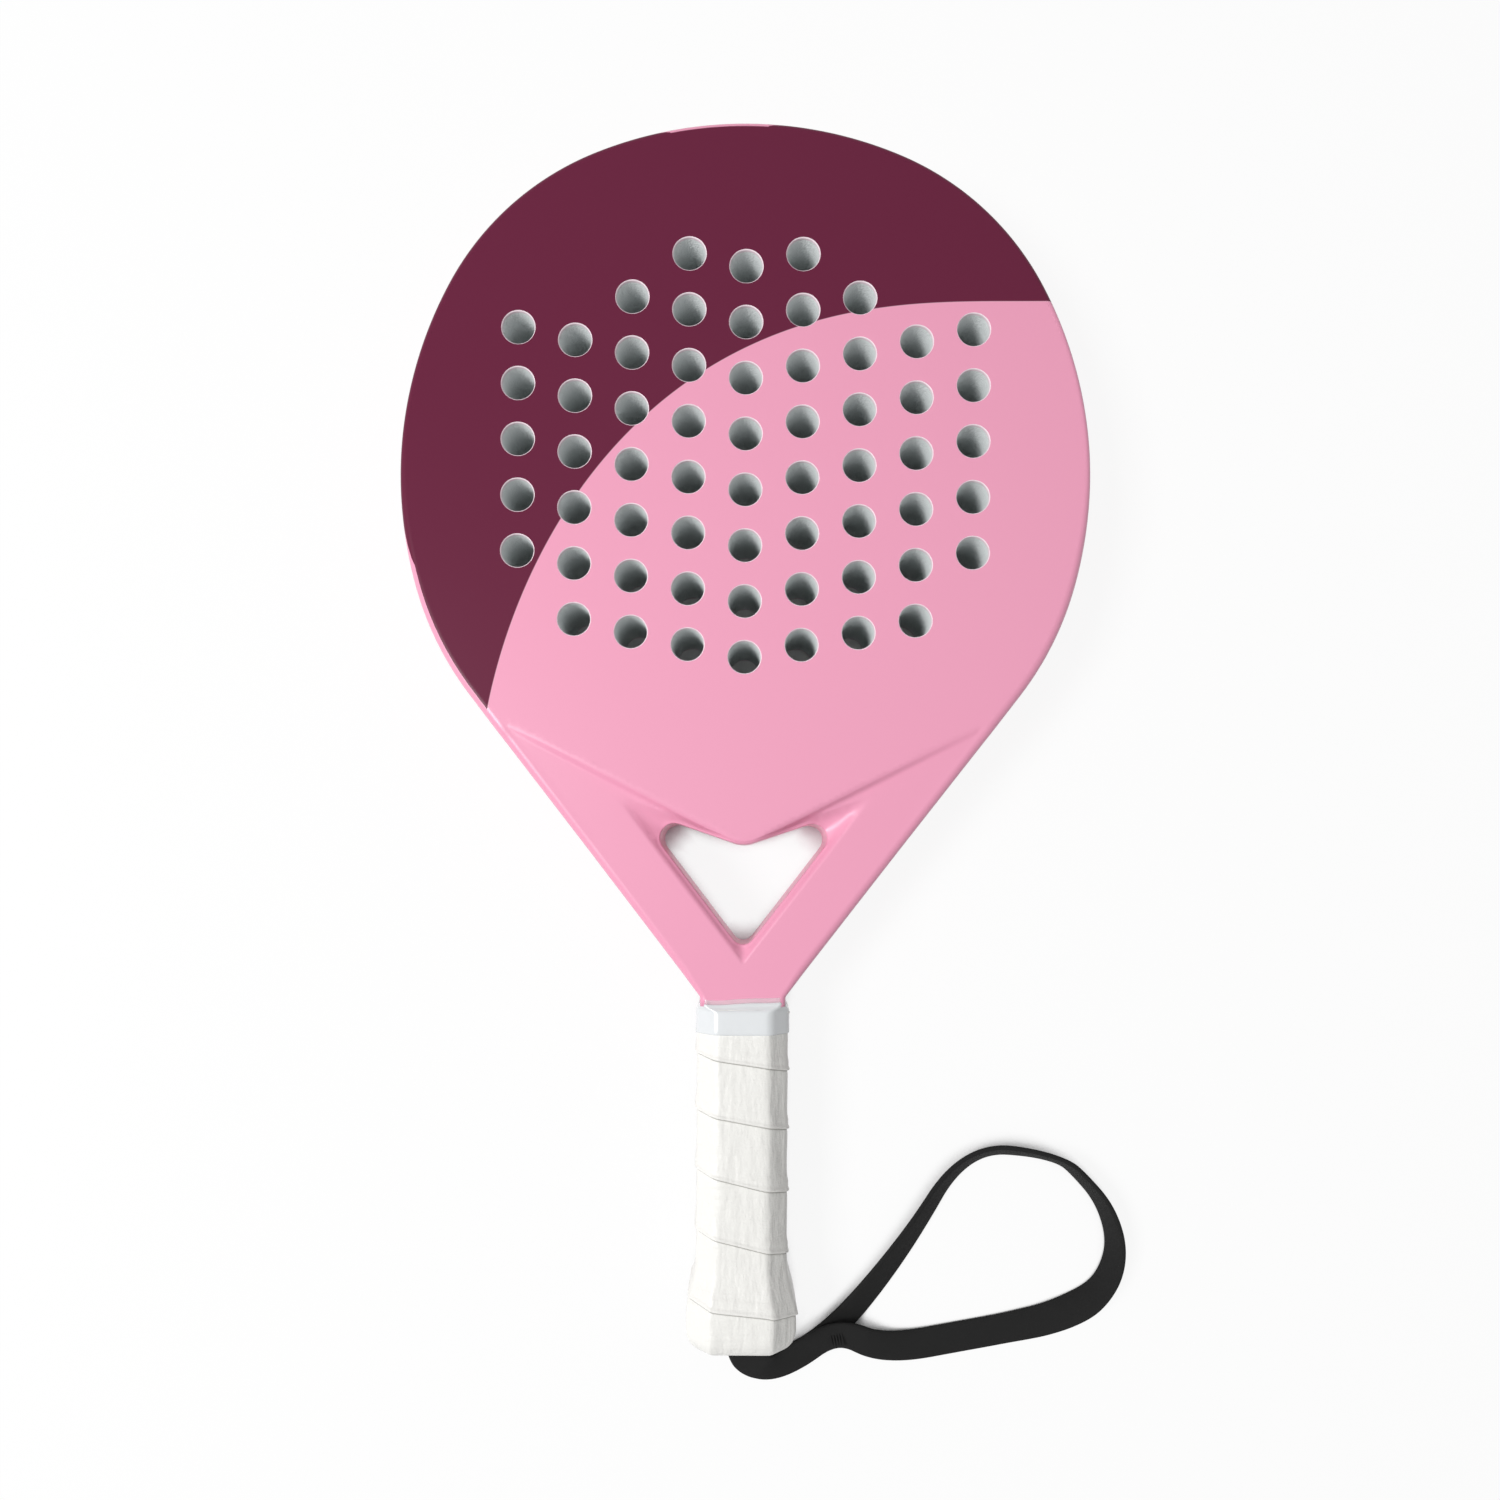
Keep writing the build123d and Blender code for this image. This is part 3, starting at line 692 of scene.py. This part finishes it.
def vertex_normals(verts, faces):
    """Normals of the whole surface, so that the pieces cut from it meet without a seam."""
    v = np.asarray(verts, float)
    total = np.zeros_like(v)
    for size in (3, 4):
        f = np.array([face for face in faces if len(face) == size], int)
        if not len(f):
            continue
        if size == 4:
            n = np.cross(v[f[:, 2]] - v[f[:, 0]], v[f[:, 3]] - v[f[:, 1]])
        else:
            n = np.cross(v[f[:, 1]] - v[f[:, 0]], v[f[:, 2]] - v[f[:, 0]])
        n /= np.maximum(np.linalg.norm(n, axis=1), 1e-12)[:, None]
        for k in range(size):
            a = v[f[:, (k + 1) % size]] - v[f[:, k]]
            b = v[f[:, k - 1]] - v[f[:, k]]
            cosine = (a * b).sum(1) / np.maximum(np.linalg.norm(a, axis=1) * np.linalg.norm(b, axis=1), 1e-12)
            np.add.at(total, f[:, k], n * np.arccos(np.clip(cosine, -1, 1))[:, None])
    return total / np.maximum(np.linalg.norm(total, axis=1), 1e-12)[:, None]


all_normals = vertex_normals(all_verts, all_faces)


# how far outside a hole's wall, how far below the face and how steep the surface is, down the hole's edge
HOLE_PROFILE = (
    (HOLE_EASE, 0.0, 25.0),
    (HOLE_EASE * 0.62, 0.09, 45.0),
    (HOLE_EASE * 0.22, 0.24, 65.0),
    (0.0, 0.5, 90.0),
    (0.0, SKIN, 90.0),
)


def body_piece(name, wanted, materials, rings=None):
    """A piece of the painted surface: the faces of some kinds, each kind with its material's number.

    rings, where given, adds the holes' edges: the face's height, the way it looks and the material's number.
    """
    faces = [(f, wanted[k]) for f, k in zip(all_faces, all_kinds) if k in wanted]
    used = sorted({i for f, _ in faces for i in f})
    renumber = {old: new for new, old in enumerate(used)}
    verts = [all_verts[i] for i in used]
    normals = [tuple(all_normals[i]) for i in used]
    new_faces = [tuple(renumber[i] for i in f) for f, _ in faces]
    numbers = [m for _, m in faces]
    if rings is not None:
        top, sense, number = rings
        for place in hole_places:
            above = None
            for out, down, tilt in HOLE_PROFILE:
                ring = list(range(len(verts), len(verts) + HOLE_STEPS))
                r, a = HOLE_R + out, math.radians(tilt)
                for c, s in hole_ring:
                    verts.append((place[0] + r * c, place[1] + r * s, top - sense * down))
                    normals.append((-c * math.sin(a), -s * math.sin(a), sense * math.cos(a)))
                if above is not None:
                    for i in range(HOLE_STEPS):
                        j = (i + 1) % HOLE_STEPS
                        quad = (above[i], above[j], ring[j], ring[i])
                        new_faces.append(quad if sense > 0 else quad[::-1])
                        numbers.append(number)
                above = ring
    obj = new_mesh(name, verts, new_faces)
    for m in materials:
        obj.data.materials.append(m)
    obj.data.polygons.foreach_set("material_index", np.array(numbers, np.int32))
    obj.data.normals_split_custom_set_from_vertices(normals)
    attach(obj, "root")
    return obj


# ---------------------------------------------------------------- paint
MAROON, PINK = srgb(100, 30, 58), srgb(237, 158, 187)
# the maroon's lower edge, as its distance from a centre: a polynomial of the angle from MASK_ANGLE
MASK_CENTRE, MASK_ANGLE, MASK_FROM, MASK_TO = (80.0, -13.0), 2.2, 1.36, 3.02
MASK_RADIUS = (-15.39, 20.45, 10.57, -13.33, -1.37, 176.02)
# height where the maroon stops on the rounded edge, and how much higher it stops at the crown and low down
WRAP_STOP, CROWN_RAISE, LOW_RAISE = 36.25, 1.72, 1.6


def paint(name, two_tone, mirrored=False):
    m = material(name, PINK, 0.34, Specular_IOR_Level=0.5)
    place = node(m, "ShaderNodeTexCoord").outputs["Object"]
    fine = node(m, "ShaderNodeTexNoise")
    fine.inputs["Scale"].default_value = 900.0
    fine.inputs["Detail"].default_value = 1.0
    link(m, place, fine.inputs["Vector"])
    add_bump(m, fine.outputs["Fac"], 0.05, 0.0002)
    if not two_tone:
        return m
    parts = node(m, "ShaderNodeSeparateXYZ")
    link(m, place, parts.inputs[0])
    x, y, z = parts.outputs["X"], parts.outputs["Y"], parts.outputs["Z"]
    if mirrored:
        x = math_node(m, "MULTIPLY", x, -1.0)
        z = math_node(m, "SUBTRACT", THICK * MM, z)
    # the maroon runs over the rounded edge, but stops short of it at the crown and down the lower side
    at_crown = math_node(m, "ABSOLUTE", math_node(m, "ADD", x, 10 * MM))
    at_crown = math_node(m, "MULTIPLY", math_node(m, "SUBTRACT", 32 * MM, at_crown), 70.0, clamp=True)
    at_crown = math_node(m, "MULTIPLY", at_crown, math_node(m, "GREATER_THAN", y, 150 * MM))
    at_crown = math_node(m, "MULTIPLY", at_crown, CROWN_RAISE)
    low_down = math_node(m, "MULTIPLY", math_node(m, "SUBTRACT", 80 * MM, y), 62.0, clamp=True)
    low_down = math_node(m, "MULTIPLY", low_down, LOW_RAISE)
    stop = math_node(m, "ADD", math_node(m, "MAXIMUM", at_crown, low_down), WRAP_STOP)
    wrapped = math_node(m, "SUBTRACT", math_node(m, "DIVIDE", z, MM), stop)
    wrapped = math_node(m, "ADD", math_node(m, "MULTIPLY", wrapped, 20.0), 0.5, clamp=True)
    # the mask's edge, as its distance from a centre at each angle round it
    x = math_node(m, "SUBTRACT", x, MASK_CENTRE[0] * MM)
    y = math_node(m, "SUBTRACT", y, MASK_CENTRE[1] * MM)
    angle = math_node(m, "MAXIMUM", math_node(m, "ARCTAN2", y, x), MASK_FROM)
    angle = math_node(m, "MINIMUM", angle, MASK_TO)
    angle = math_node(m, "SUBTRACT", angle, MASK_ANGLE)
    reach = math_node(m, "MULTIPLY", angle, MASK_RADIUS[0])
    for term in MASK_RADIUS[1:-1]:
        reach = math_node(m, "MULTIPLY", math_node(m, "ADD", reach, term), angle)
    reach = math_node(m, "ADD", reach, MASK_RADIUS[-1])
    square = math_node(m, "ADD", math_node(m, "MULTIPLY", x, x), math_node(m, "MULTIPLY", y, y))
    out = math_node(m, "SQRT", square)
    distance = math_node(m, "SUBTRACT", math_node(m, "DIVIDE", out, MM), reach)
    side = math_node(m, "ADD", math_node(m, "MULTIPLY", distance, 10.0), 0.5, clamp=True)
    side = math_node(m, "MULTIPLY", side, wrapped)
    colour = mixed(m, PINK, MAROON, side)
    # the edge of the masked coat shows as a hair line
    away = math_node(m, "MULTIPLY", math_node(m, "ABSOLUTE", distance), 4.0)
    near = math_node(m, "SUBTRACT", 1.0, away, clamp=True)
    colour = mixed(m, colour, srgb(232, 176, 196), math_node(m, "MULTIPLY", near, 0.7))
    link(m, colour, principled(m).inputs["Base Color"])
    # the pink lies under a glossier lacquer than the maroon
    gloss = math_node(m, "SUBTRACT", 0.5, math_node(m, "MULTIPLY", side, 0.36))
    link(m, gloss, principled(m).inputs["Specular IOR Level"])
    return m


front_paint = paint("paint_two_tone", True)
back_paint = paint("paint_two_tone_back", True, mirrored=True)
pink_paint = paint("paint_pink", False)
cut_edge = material("laminate_edge", srgb(246, 228, 235), 0.5)

front = body_piece("front_laminate", {"face": 0}, [front_paint, cut_edge], rings=(THICK, 1, 1))
back = body_piece("back_laminate", {"back_face": 0}, [back_paint, cut_edge], rings=(0.0, -1, 1))
shell = body_piece(
    "painted_frame",
    {
        "edge": 0, "body": 0, "fillet": 0, "rim": 1, "wall": 1,
        "back_edge": 2, "back_body": 2, "back_fillet": 2, "back_rim": 1, "back_wall": 1,
    },
    [front_paint, pink_paint, back_paint],
)
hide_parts("front_face")
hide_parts("back_face")
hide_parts("frame_tube", "throat_yoke")

# ---------------------------------------------------------------- foam core, seen in the drilled holes
foam = material("foam", srgb(226, 229, 229), 0.85, Specular_IOR_Level=0.1)
foam_place = node(foam, "ShaderNodeTexCoord").outputs["Object"]
grain = node(foam, "ShaderNodeTexVoronoi")
grain.inputs["Scale"].default_value = 1400.0
link(foam, foam_place, grain.inputs["Vector"])
add_bump(foam, grain.outputs["Distance"], 0.5, 0.0004)
# painted light and shade: the ends of the bores are painted paler, where light comes in, and their middle
# darker, where it lies in shade
foam_parts = node(foam, "ShaderNodeSeparateXYZ")
link(foam, foam_place, foam_parts.inputs[0])
from_middle = math_node(foam, "SUBTRACT", foam_parts.outputs["Z"], THICK / 2 * MM)
from_middle = math_node(foam, "ABSOLUTE", from_middle)
painted_lit_ends = math_node(foam, "MULTIPLY", math_node(foam, "SUBTRACT", from_middle, 4 * MM), 75.0, clamp=True)
# the two greys stand for the foam in shade mid-bore and lit near the faces
foam_tone_with_painted_light = mixed(foam, srgb(206, 211, 211), srgb(240, 244, 244), painted_lit_ends)
link(foam, foam_tone_with_painted_light, principled(foam).inputs["Base Color"])
plastic = material("cap_plastic", srgb(30, 30, 32), 0.4)
hidden_foam = material("handle_foam", srgb(200, 196, 186), 0.9)


def dress(node_name, m):
    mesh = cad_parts[node_name].data
    mesh.materials.clear()
    mesh.materials.append(m)


dress("foam_core", foam)
for node_name in ("front_pallet", "back_pallet", "leg_plugs", "cushion_grip"):
    dress(node_name, hidden_foam)
dress("butt_cap", plastic)

# ---------------------------------------------------------------- handle: overgrip and finishing tape
PITCH = 22.7
GRIP_TOP, CURL_START, CURL, CURL_IN = -97.66, -217.0, 9.0, 8.4
GRIP = (34.0, 31.0, 7.2)  # width, depth and bevel of the octagon
PER_CORNER, PER_SIDE = 5, 13
GRIP_SOFT, BUTT_SOFT, SOFT_FROM, SOFT_OVER = 4.5, 2.8, -186.0, 16.0
FLARE_FROM, FLARE_OVER, WIDER, DEEPER, BEVELLED = -193.5, 17.0, 7.0, 5.6, 1.7


def octagon(width, depth, bevel, soft):
    """Points of a rounded octagon, clockwise from the front face's right end as seen from the butt."""
    w, d = width / 2, depth / 2
    corners = [(w - bevel, d), (w, d - bevel), (w, bevel - d), (w - bevel, -d)]
    corners += [(-x, -z) for x, z in corners]
    return rounded_polygon(corners, [soft] * 8, lambda arc: PER_CORNER, lambda side: PER_SIDE)


rng = np.random.default_rng(7)
wave = [(rng.uniform(0.05, 0.5), int(rng.integers(1, 9)), rng.uniform(0, 6.28)) for _ in range(14)]


# where the seam lies after so many turns: it was measured on the front facet, and the wrap isn't quite even
SEAMS = (
    (-3.156, -52.0), (-3.0, -54.6), (-2.156, -72.9), (-2.0, -76.0), (-1.156, -95.3), (-1.0, -98.0),
    (-0.156, -116.7), (0.0, -119.1), (0.844, -137.8), (1.0, -140.9), (1.844, -160.1), (2.0, -164.4),
    (2.844, -182.6), (3.0, -187.0), (3.844, -207.9), (4.0, -210.0), (5.0, -233.0), (9.0, -323.0),
)


def seam_at(turns):
    """Place of the seam after so many turns, a little smoothed."""
    near = np.linspace(-0.045, 0.045, 7)
    where, place = zip(*SEAMS)
    return np.mean([np.interp(turns + d, where, place) for d in near], axis=0)


def below_seam(y, turn):
    """Share of the way down from the seam above to the seam below, at y and at a share of the way round."""
    share = np.zeros_like(y)
    for n in range(-3, 6):
        high, low = seam_at(turn + n), seam_at(turn + n + 1)
        share = np.where((y <= high) & (y > low), (high - y) / (high - low), share)
    return share


def bell(u, centre, width):
    return np.exp(-(((u - centre) / width) ** 2))


def gradual_step(u, place, width):
    return 1 / (1 + np.exp(-(u - place) / width))


def wrap_relief(y, turn):
    """How far the wound tape stands out, at y and at a share of the way round."""
    u = PITCH * (1 - below_seam(y, turn))
    double = 0.45 * (1 - gradual_step(u, 5.0, 0.6))
    roll = 0.34 * bell(u, 0.95, 0.62) - 0.12 * bell(u, 2.4, 0.7)
    edge = gradual_step(u, 0.28, 0.07)
    under = gradual_step(PITCH - u, 0.1, 0.06)
    bed = -0.2 * bell(u, PITCH, 0.4) - 0.2 * bell(u, 0, 0.25)
    ripple = sum(0.02 * np.sin(f * y + k * turn * 6.283 + p) for f, k, p in wave)
    return (double + roll) * edge * under + bed + ripple


template = octagon(*GRIP, GRIP_SOFT)
ROUND = len(template)
# the section's points move in proportion to its width, depth and bevel
by_width = octagon(GRIP[0] + 1, GRIP[1], GRIP[2], GRIP_SOFT) - template
by_depth = octagon(GRIP[0], GRIP[1] + 1, GRIP[2], GRIP_SOFT) - template
by_bevel = octagon(GRIP[0], GRIP[1], GRIP[2] + 1, GRIP_SOFT) - template
by_crisp = octagon(*GRIP, BUTT_SOFT) - template
section_way = ways_along(template)
section_out = np.stack([-section_way[:, 1], section_way[:, 0]], axis=1)


def grip_row(y, drawn, relief):
    """A row of points round the grip, at a y for each, drawn in by so much, with a share of the relief."""
    t = np.clip((FLARE_FROM - y) / FLARE_OVER, 0, 1)
    t = 0.5 * t + 0.5 * smooth(t)
    crisp = np.clip((SOFT_FROM - y) / SOFT_OVER, 0, 1)
    wider, deeper, bevelled = WIDER * t - 2 * drawn, DEEPER * t - 2 * drawn, BEVELLED * t - 0.85 * drawn
    points = template + by_width * wider[:, None] + by_depth * deeper[:, None] + by_bevel * bevelled[:, None]
    points = points + by_crisp * crisp[:, None]
    points = points + section_out * (wrap_relief(y, grip_turn) * relief)[:, None]
    return np.column_stack([points[:, 0], y, MIDDLE + points[:, 1]])


run = np.concatenate([[0], np.cumsum(np.linalg.norm(np.diff(template, axis=0), axis=1))])
ROUND_LENGTH = run[-1] + np.linalg.norm(template[0] - template[-1])
grip_turn = run / ROUND_LENGTH

# rows follow the winding, so that its edge is one line of points
within = (0.0, 0.12, 0.25, 0.4, 0.8, 1.8, 3.3, 5.0, 6.8, 8.6, 10.4, 12.2, 14.0, 15.6, 16.6)
within += (17.1, 17.6, 18.1, 18.8, 19.8, 20.6, 21.0, 21.3, 21.6, 21.85, 22.1, 22.25, 22.35, 22.45, 22.55)
PER_TURN = len(within)
winding = [(n, v / PITCH) for n in range(-3, 7) for v in within]
verts, uvs, faces = [], [], []
for n, share in winding:
    high, low = seam_at(grip_turn + n), seam_at(grip_turn + n + 1)
    y = np.clip(high + (low - high) * share, CURL_START, GRIP_TOP)
    verts.extend(grip_row(y, 0.0, np.minimum(1.0, (GRIP_TOP - y) / 1.5)))
    gap = PITCH * below_seam(y, grip_turn)
    # the uv's second value peaks at the seam and carries the painted shade line there
    uvs.extend(zip(grip_turn, bell(np.minimum(gap, PITCH - gap), 0, 0.2)))
rows = len(winding)
for i in range(rows - 1):
    for j in range(ROUND - 1):
        a, b = i * ROUND + j, (i + 1) * ROUND + j
        faces.append((a + 1, a, b, b + 1))
    if i + PER_TURN + 1 < rows:
        a, b = i * ROUND + ROUND - 1, (i + 1) * ROUND + ROUND - 1
        faces.append(((i + PER_TURN) * ROUND, a, b, (i + PER_TURN + 1) * ROUND))
# the turn-in at the top, and the rounding at the butt
TURN_IN, CURL_STEPS = 1.2, 10
first = len(verts)
verts.extend(grip_row(np.full(ROUND, GRIP_TOP), TURN_IN, 0.0))
uvs.extend((t, 0.0) for t in grip_turn)
faces.extend(ring_faces(0, first, ROUND))
previous = (rows - 1) * ROUND
for step in range(1, CURL_STEPS + 1):
    a = math.radians(90 / CURL_STEPS * step)
    first = len(verts)
    ring = grip_row(np.full(ROUND, CURL_START), CURL_IN * (1 - math.cos(a)) ** 1.2, 1 - step / CURL_STEPS)
    ring[:, 1] = CURL_START - CURL * math.sin(a)
    verts.extend(ring)
    uvs.extend((t, 0.0) for t in grip_turn)
    faces.extend(ring_faces(first, previous, ROUND))
    previous = first
# the end face, down to the window in the fold, and the fold's lip
window_w, window_d = 23.0 / 2, 18.6 / 2
base = np.array([verts[previous + j] for j in range(ROUND)])
for y, share in ((BUTT_END, 0.6), (BUTT_END, 0.95), (BUTT_END + 0.15, 1.0), (BUTT_END + 0.75, 1.0)):
    first = len(verts)
    for j in range(ROUND):
        x, z = base[j][0], base[j][2] - MIDDLE
        k = (abs(x / window_w) ** 5 + abs(z / window_d) ** 5) ** (1 / 5)
        verts.append((x + (x / k - x) * share, y, MIDDLE + z + (z / k - z) * share))
        uvs.append((0.5, 0.0))
    faces.extend(ring_faces(first, previous, ROUND))
    previous = first
grip = new_mesh("overgrip", verts, faces)
set_uv(grip, uvs)
work = bmesh.new()
work.from_mesh(grip.data)
bmesh.ops.remove_doubles(work, verts=work.verts, dist=0.02 * MM)
bmesh.ops.dissolve_degenerate(work, edges=work.edges, dist=0.005 * MM)
work.to_mesh(grip.data)
work.free()
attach(grip, "root")
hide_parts("overgrip_wrap")

GRIP_COLOUR = srgb(239, 238, 234)
grip_white = material("grip_white", GRIP_COLOUR, 0.42, Specular_IOR_Level=0.35, Sheen_Weight=0.05)
grip_place = node(grip_white, "ShaderNodeTexCoord").outputs["Object"]
# soft pores, drawn-out creases and a little unevenness of the polyurethane
layers = None
for scale, stretch, strength, distance in (
    (1300.0, (1.0, 1.0, 1.0), 0.35, 0.0003),
    (300.0, (1.0, 0.28, 1.0), 0.5, 0.0012),
    (420.0, (0.12, 1.0, 0.12), 0.4, 0.0009),
):
    sized = node(grip_white, "ShaderNodeMapping")
    sized.inputs["Scale"].default_value = stretch
    link(grip_white, grip_place, sized.inputs["Vector"])
    noise = node(grip_white, "ShaderNodeTexNoise")
    noise.inputs["Scale"].default_value = scale
    noise.inputs["Detail"].default_value = 2.0
    link(grip_white, sized.outputs["Vector"], noise.inputs["Vector"])
    layers = add_bump(grip_white, noise.outputs["Fac"], strength, distance, layers)
# painted shade: a dark grey line along the wound edge, where the upper turn's step shades the turn below
grip_uv = node(grip_white, "ShaderNodeUVMap", uv_map="along")
gap_parts = node(grip_white, "ShaderNodeSeparateXYZ")
link(grip_white, grip_uv.outputs["UV"], gap_parts.inputs[0])
painted_seam_shade = math_node(grip_white, "MULTIPLY", gap_parts.outputs["Y"], 0.8)
grip_tone_with_seam_shade = mixed(grip_white, GRIP_COLOUR, srgb(120, 118, 112), painted_seam_shade)
link(grip_white, grip_tone_with_seam_shade, principled(grip_white).inputs["Base Color"])
grip.data.materials.append(grip_white)

# finishing tape: a clear lip on the neck, then white up the step and round the top of the grip, as rows of
# place, width, depth, bevel and how loosely the film lies
SLIM, FULL, SLIM_SOFT, FULL_SOFT, CLEAR_ROWS = 2.1, GRIP[2], 1.6, 5.0, 2
verts, faces, numbers = [], [], []
profile = (
    (-93.7, 31.84, 28.46, SLIM, 1.0), (-94.6, 31.9, 28.5, SLIM, 1.0),
    (-95.5, 31.96, 28.52, SLIM, 0.9), (-95.6, 32.3, 28.8, 2.2, 0.9), (-96.3, 32.4, 29.0, 2.5, 0.6),
    (-97.1, 33.2, 29.9, 3.8, 0.4), (-97.9, 34.3, 31.2, 5.9, 0.2), (-98.6, 34.9, 31.9, 7.0, 0.0),
    (-99.8, 35.05, 32.05, FULL, 0.0), (-102.5, 35.0, 32.0, FULL, 0.0), (-105.0, 35.1, 32.1, FULL, 0.0),
    (-106.5, 35.15, 32.15, FULL, 0.0), (-107.0, 35.0, 32.0, FULL, 0.0), (-107.05, 34.2, 31.2, FULL, 0.0),
)
for y, width, depth, bevel, loose in profile:
    share = (bevel - SLIM) / (FULL - SLIM)
    points = octagon(width, depth, bevel, SLIM_SOFT + (FULL_SOFT - SLIM_SOFT) * share)
    angle = np.linspace(0, 2 * math.pi, len(points), endpoint=False)
    ragged = 0.42 * np.sin(3 * angle + 0.6) + 0.25 * np.sin(7 * angle + 2.0) + 0.12 * np.sin(17 * angle)
    pucker = 0.05 * loose * np.sin(23 * angle + 2 * y)
    for p, w, r in zip(points, ragged * loose, pucker):
        grow = 1 + 2 * r / GRIP[0]
        verts.append((p[0] * grow, y + w, MIDDLE + p[1] * grow))
for i in range(len(profile) - 1):
    faces.extend(ring_faces((i + 1) * ROUND, i * ROUND, ROUND))
    numbers.extend([1 if i < CLEAR_ROWS else 0] * ROUND)
tape = new_mesh("finishing_tape_wound", verts, faces)
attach(tape, "root")
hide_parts("finishing_tape")
tape_white = material("tape_white", srgb(224, 227, 229), 0.25, Coat_Weight=0.4, Coat_Roughness=0.12)
tape_clear = material("tape_clear", srgb(236, 238, 240), 0.2, Alpha=0.4)
tape.data.materials.append(tape_white)
tape.data.materials.append(tape_clear)
tape.data.polygons.foreach_set("material_index", np.array(numbers, np.int32))

# ---------------------------------------------------------------- strap finish, on the webbing, stitching and knot
webbing = material("webbing", srgb(33, 33, 33), 0.8, Specular_IOR_Level=0.15)
weave_uv = node(webbing, "ShaderNodeUVMap", uv_map="along")
WEAVE_SCALE = 0.81679
threads = None
for turn_by in (0.7, -0.7):
    turned = node(webbing, "ShaderNodeMapping")
    turned.inputs["Rotation"].default_value = (0.0, 0.0, turn_by)
    link(webbing, weave_uv.outputs["UV"], turned.inputs["Vector"])
    wale = node(webbing, "ShaderNodeTexWave", wave_type="BANDS", bands_direction="Y", wave_profile="SIN")
    wale.inputs["Scale"].default_value = WEAVE_SCALE
    wale.inputs["Distortion"].default_value = 0.3
    link(webbing, turned.outputs["Vector"], wale.inputs["Vector"])
    threads = add_bump(webbing, wale.outputs["Fac"], 0.35, 0.0002, threads)
strap.data.materials.append(webbing)
dress("strap_stitching", webbing)
dress("strap_knot", webbing)

# ---------------------------------------------------------------- floor, light
FLOOR_HALF, FLOOR_Z = 4000, -0.2
corners = [(x * FLOOR_HALF, y * FLOOR_HALF, FLOOR_Z) for x, y in ((-1, -1), (1, -1), (1, 1), (-1, 1))]
floor = new_mesh("floor", corners, [(0, 1, 2, 3)])
ground = material("floor", (0.86, 0.86, 0.86, 1.0), 0.9, Specular_IOR_Level=0.1)
sky = node(ground, "ShaderNodeAmbientOcclusion", samples=8)
sky.inputs["Distance"].default_value = 0.012
# the floor is shown white where it is open, and keeps its shadow close to the racket and down the holes
OPEN_FROM, OPEN_RATE, WHITE_SHARE = 0.37, 4.5, 0.9
clear = math_node(ground, "SUBTRACT", sky.outputs["AO"], OPEN_FROM)
clear = math_node(ground, "MULTIPLY", clear, OPEN_RATE, clamp=True)
white = node(ground, "ShaderNodeEmission")
white.inputs["Color"].default_value = (1, 1, 1, 1)
white.inputs["Strength"].default_value = 1.0
choose = node(ground, "ShaderNodeMixShader")
whitened = math_node(ground, "MULTIPLY", math_node(ground, "MULTIPLY", seen_rays(ground), clear), WHITE_SHARE)
link(ground, whitened, choose.inputs[0])
link(ground, principled(ground).outputs[0], choose.inputs[1])
link(ground, white.outputs[0], choose.inputs[2])
link(ground, choose.outputs[0], ground.node_tree.nodes["Material Output"].inputs["Surface"])
floor.data.materials.append(ground)

world = bpy.data.worlds.new("studio")
bpy.context.scene.world = world
world.use_nodes = True
background = world.node_tree.nodes["Background"]
background.inputs["Color"].default_value = (1, 1, 1, 1)
level = node(world, "ShaderNodeMapRange")
level.inputs["To Min"].default_value = 0.28
level.inputs["To Max"].default_value = 0.93
link(world, seen_rays(world), level.inputs["Value"])
link(world, level.outputs["Result"], background.inputs["Strength"])


def area(name, where, aim, size, watts):
    light = bpy.data.lights.new(name, "AREA")
    light.shape = "RECTANGLE"
    light.size, light.size_y = size
    light.energy = watts
    obj = bpy.data.objects.new(name, light)
    obj.location = where
    obj.rotation_euler = (Vector(aim) - Vector(where)).to_track_quat("-Z", "Y").to_euler()
    bpy.context.scene.collection.objects.link(obj)


area("key", (-0.95, -0.12, 1.34), (0.0, 0.03, 0.0), (0.55, 0.55), 21.0)
area("fill", (0.1, 0.2, 1.9), (0.0, 0.0, 0.0), (1.4, 1.4), 3.7)

bpy.context.scene.view_settings.view_transform = "Standard"
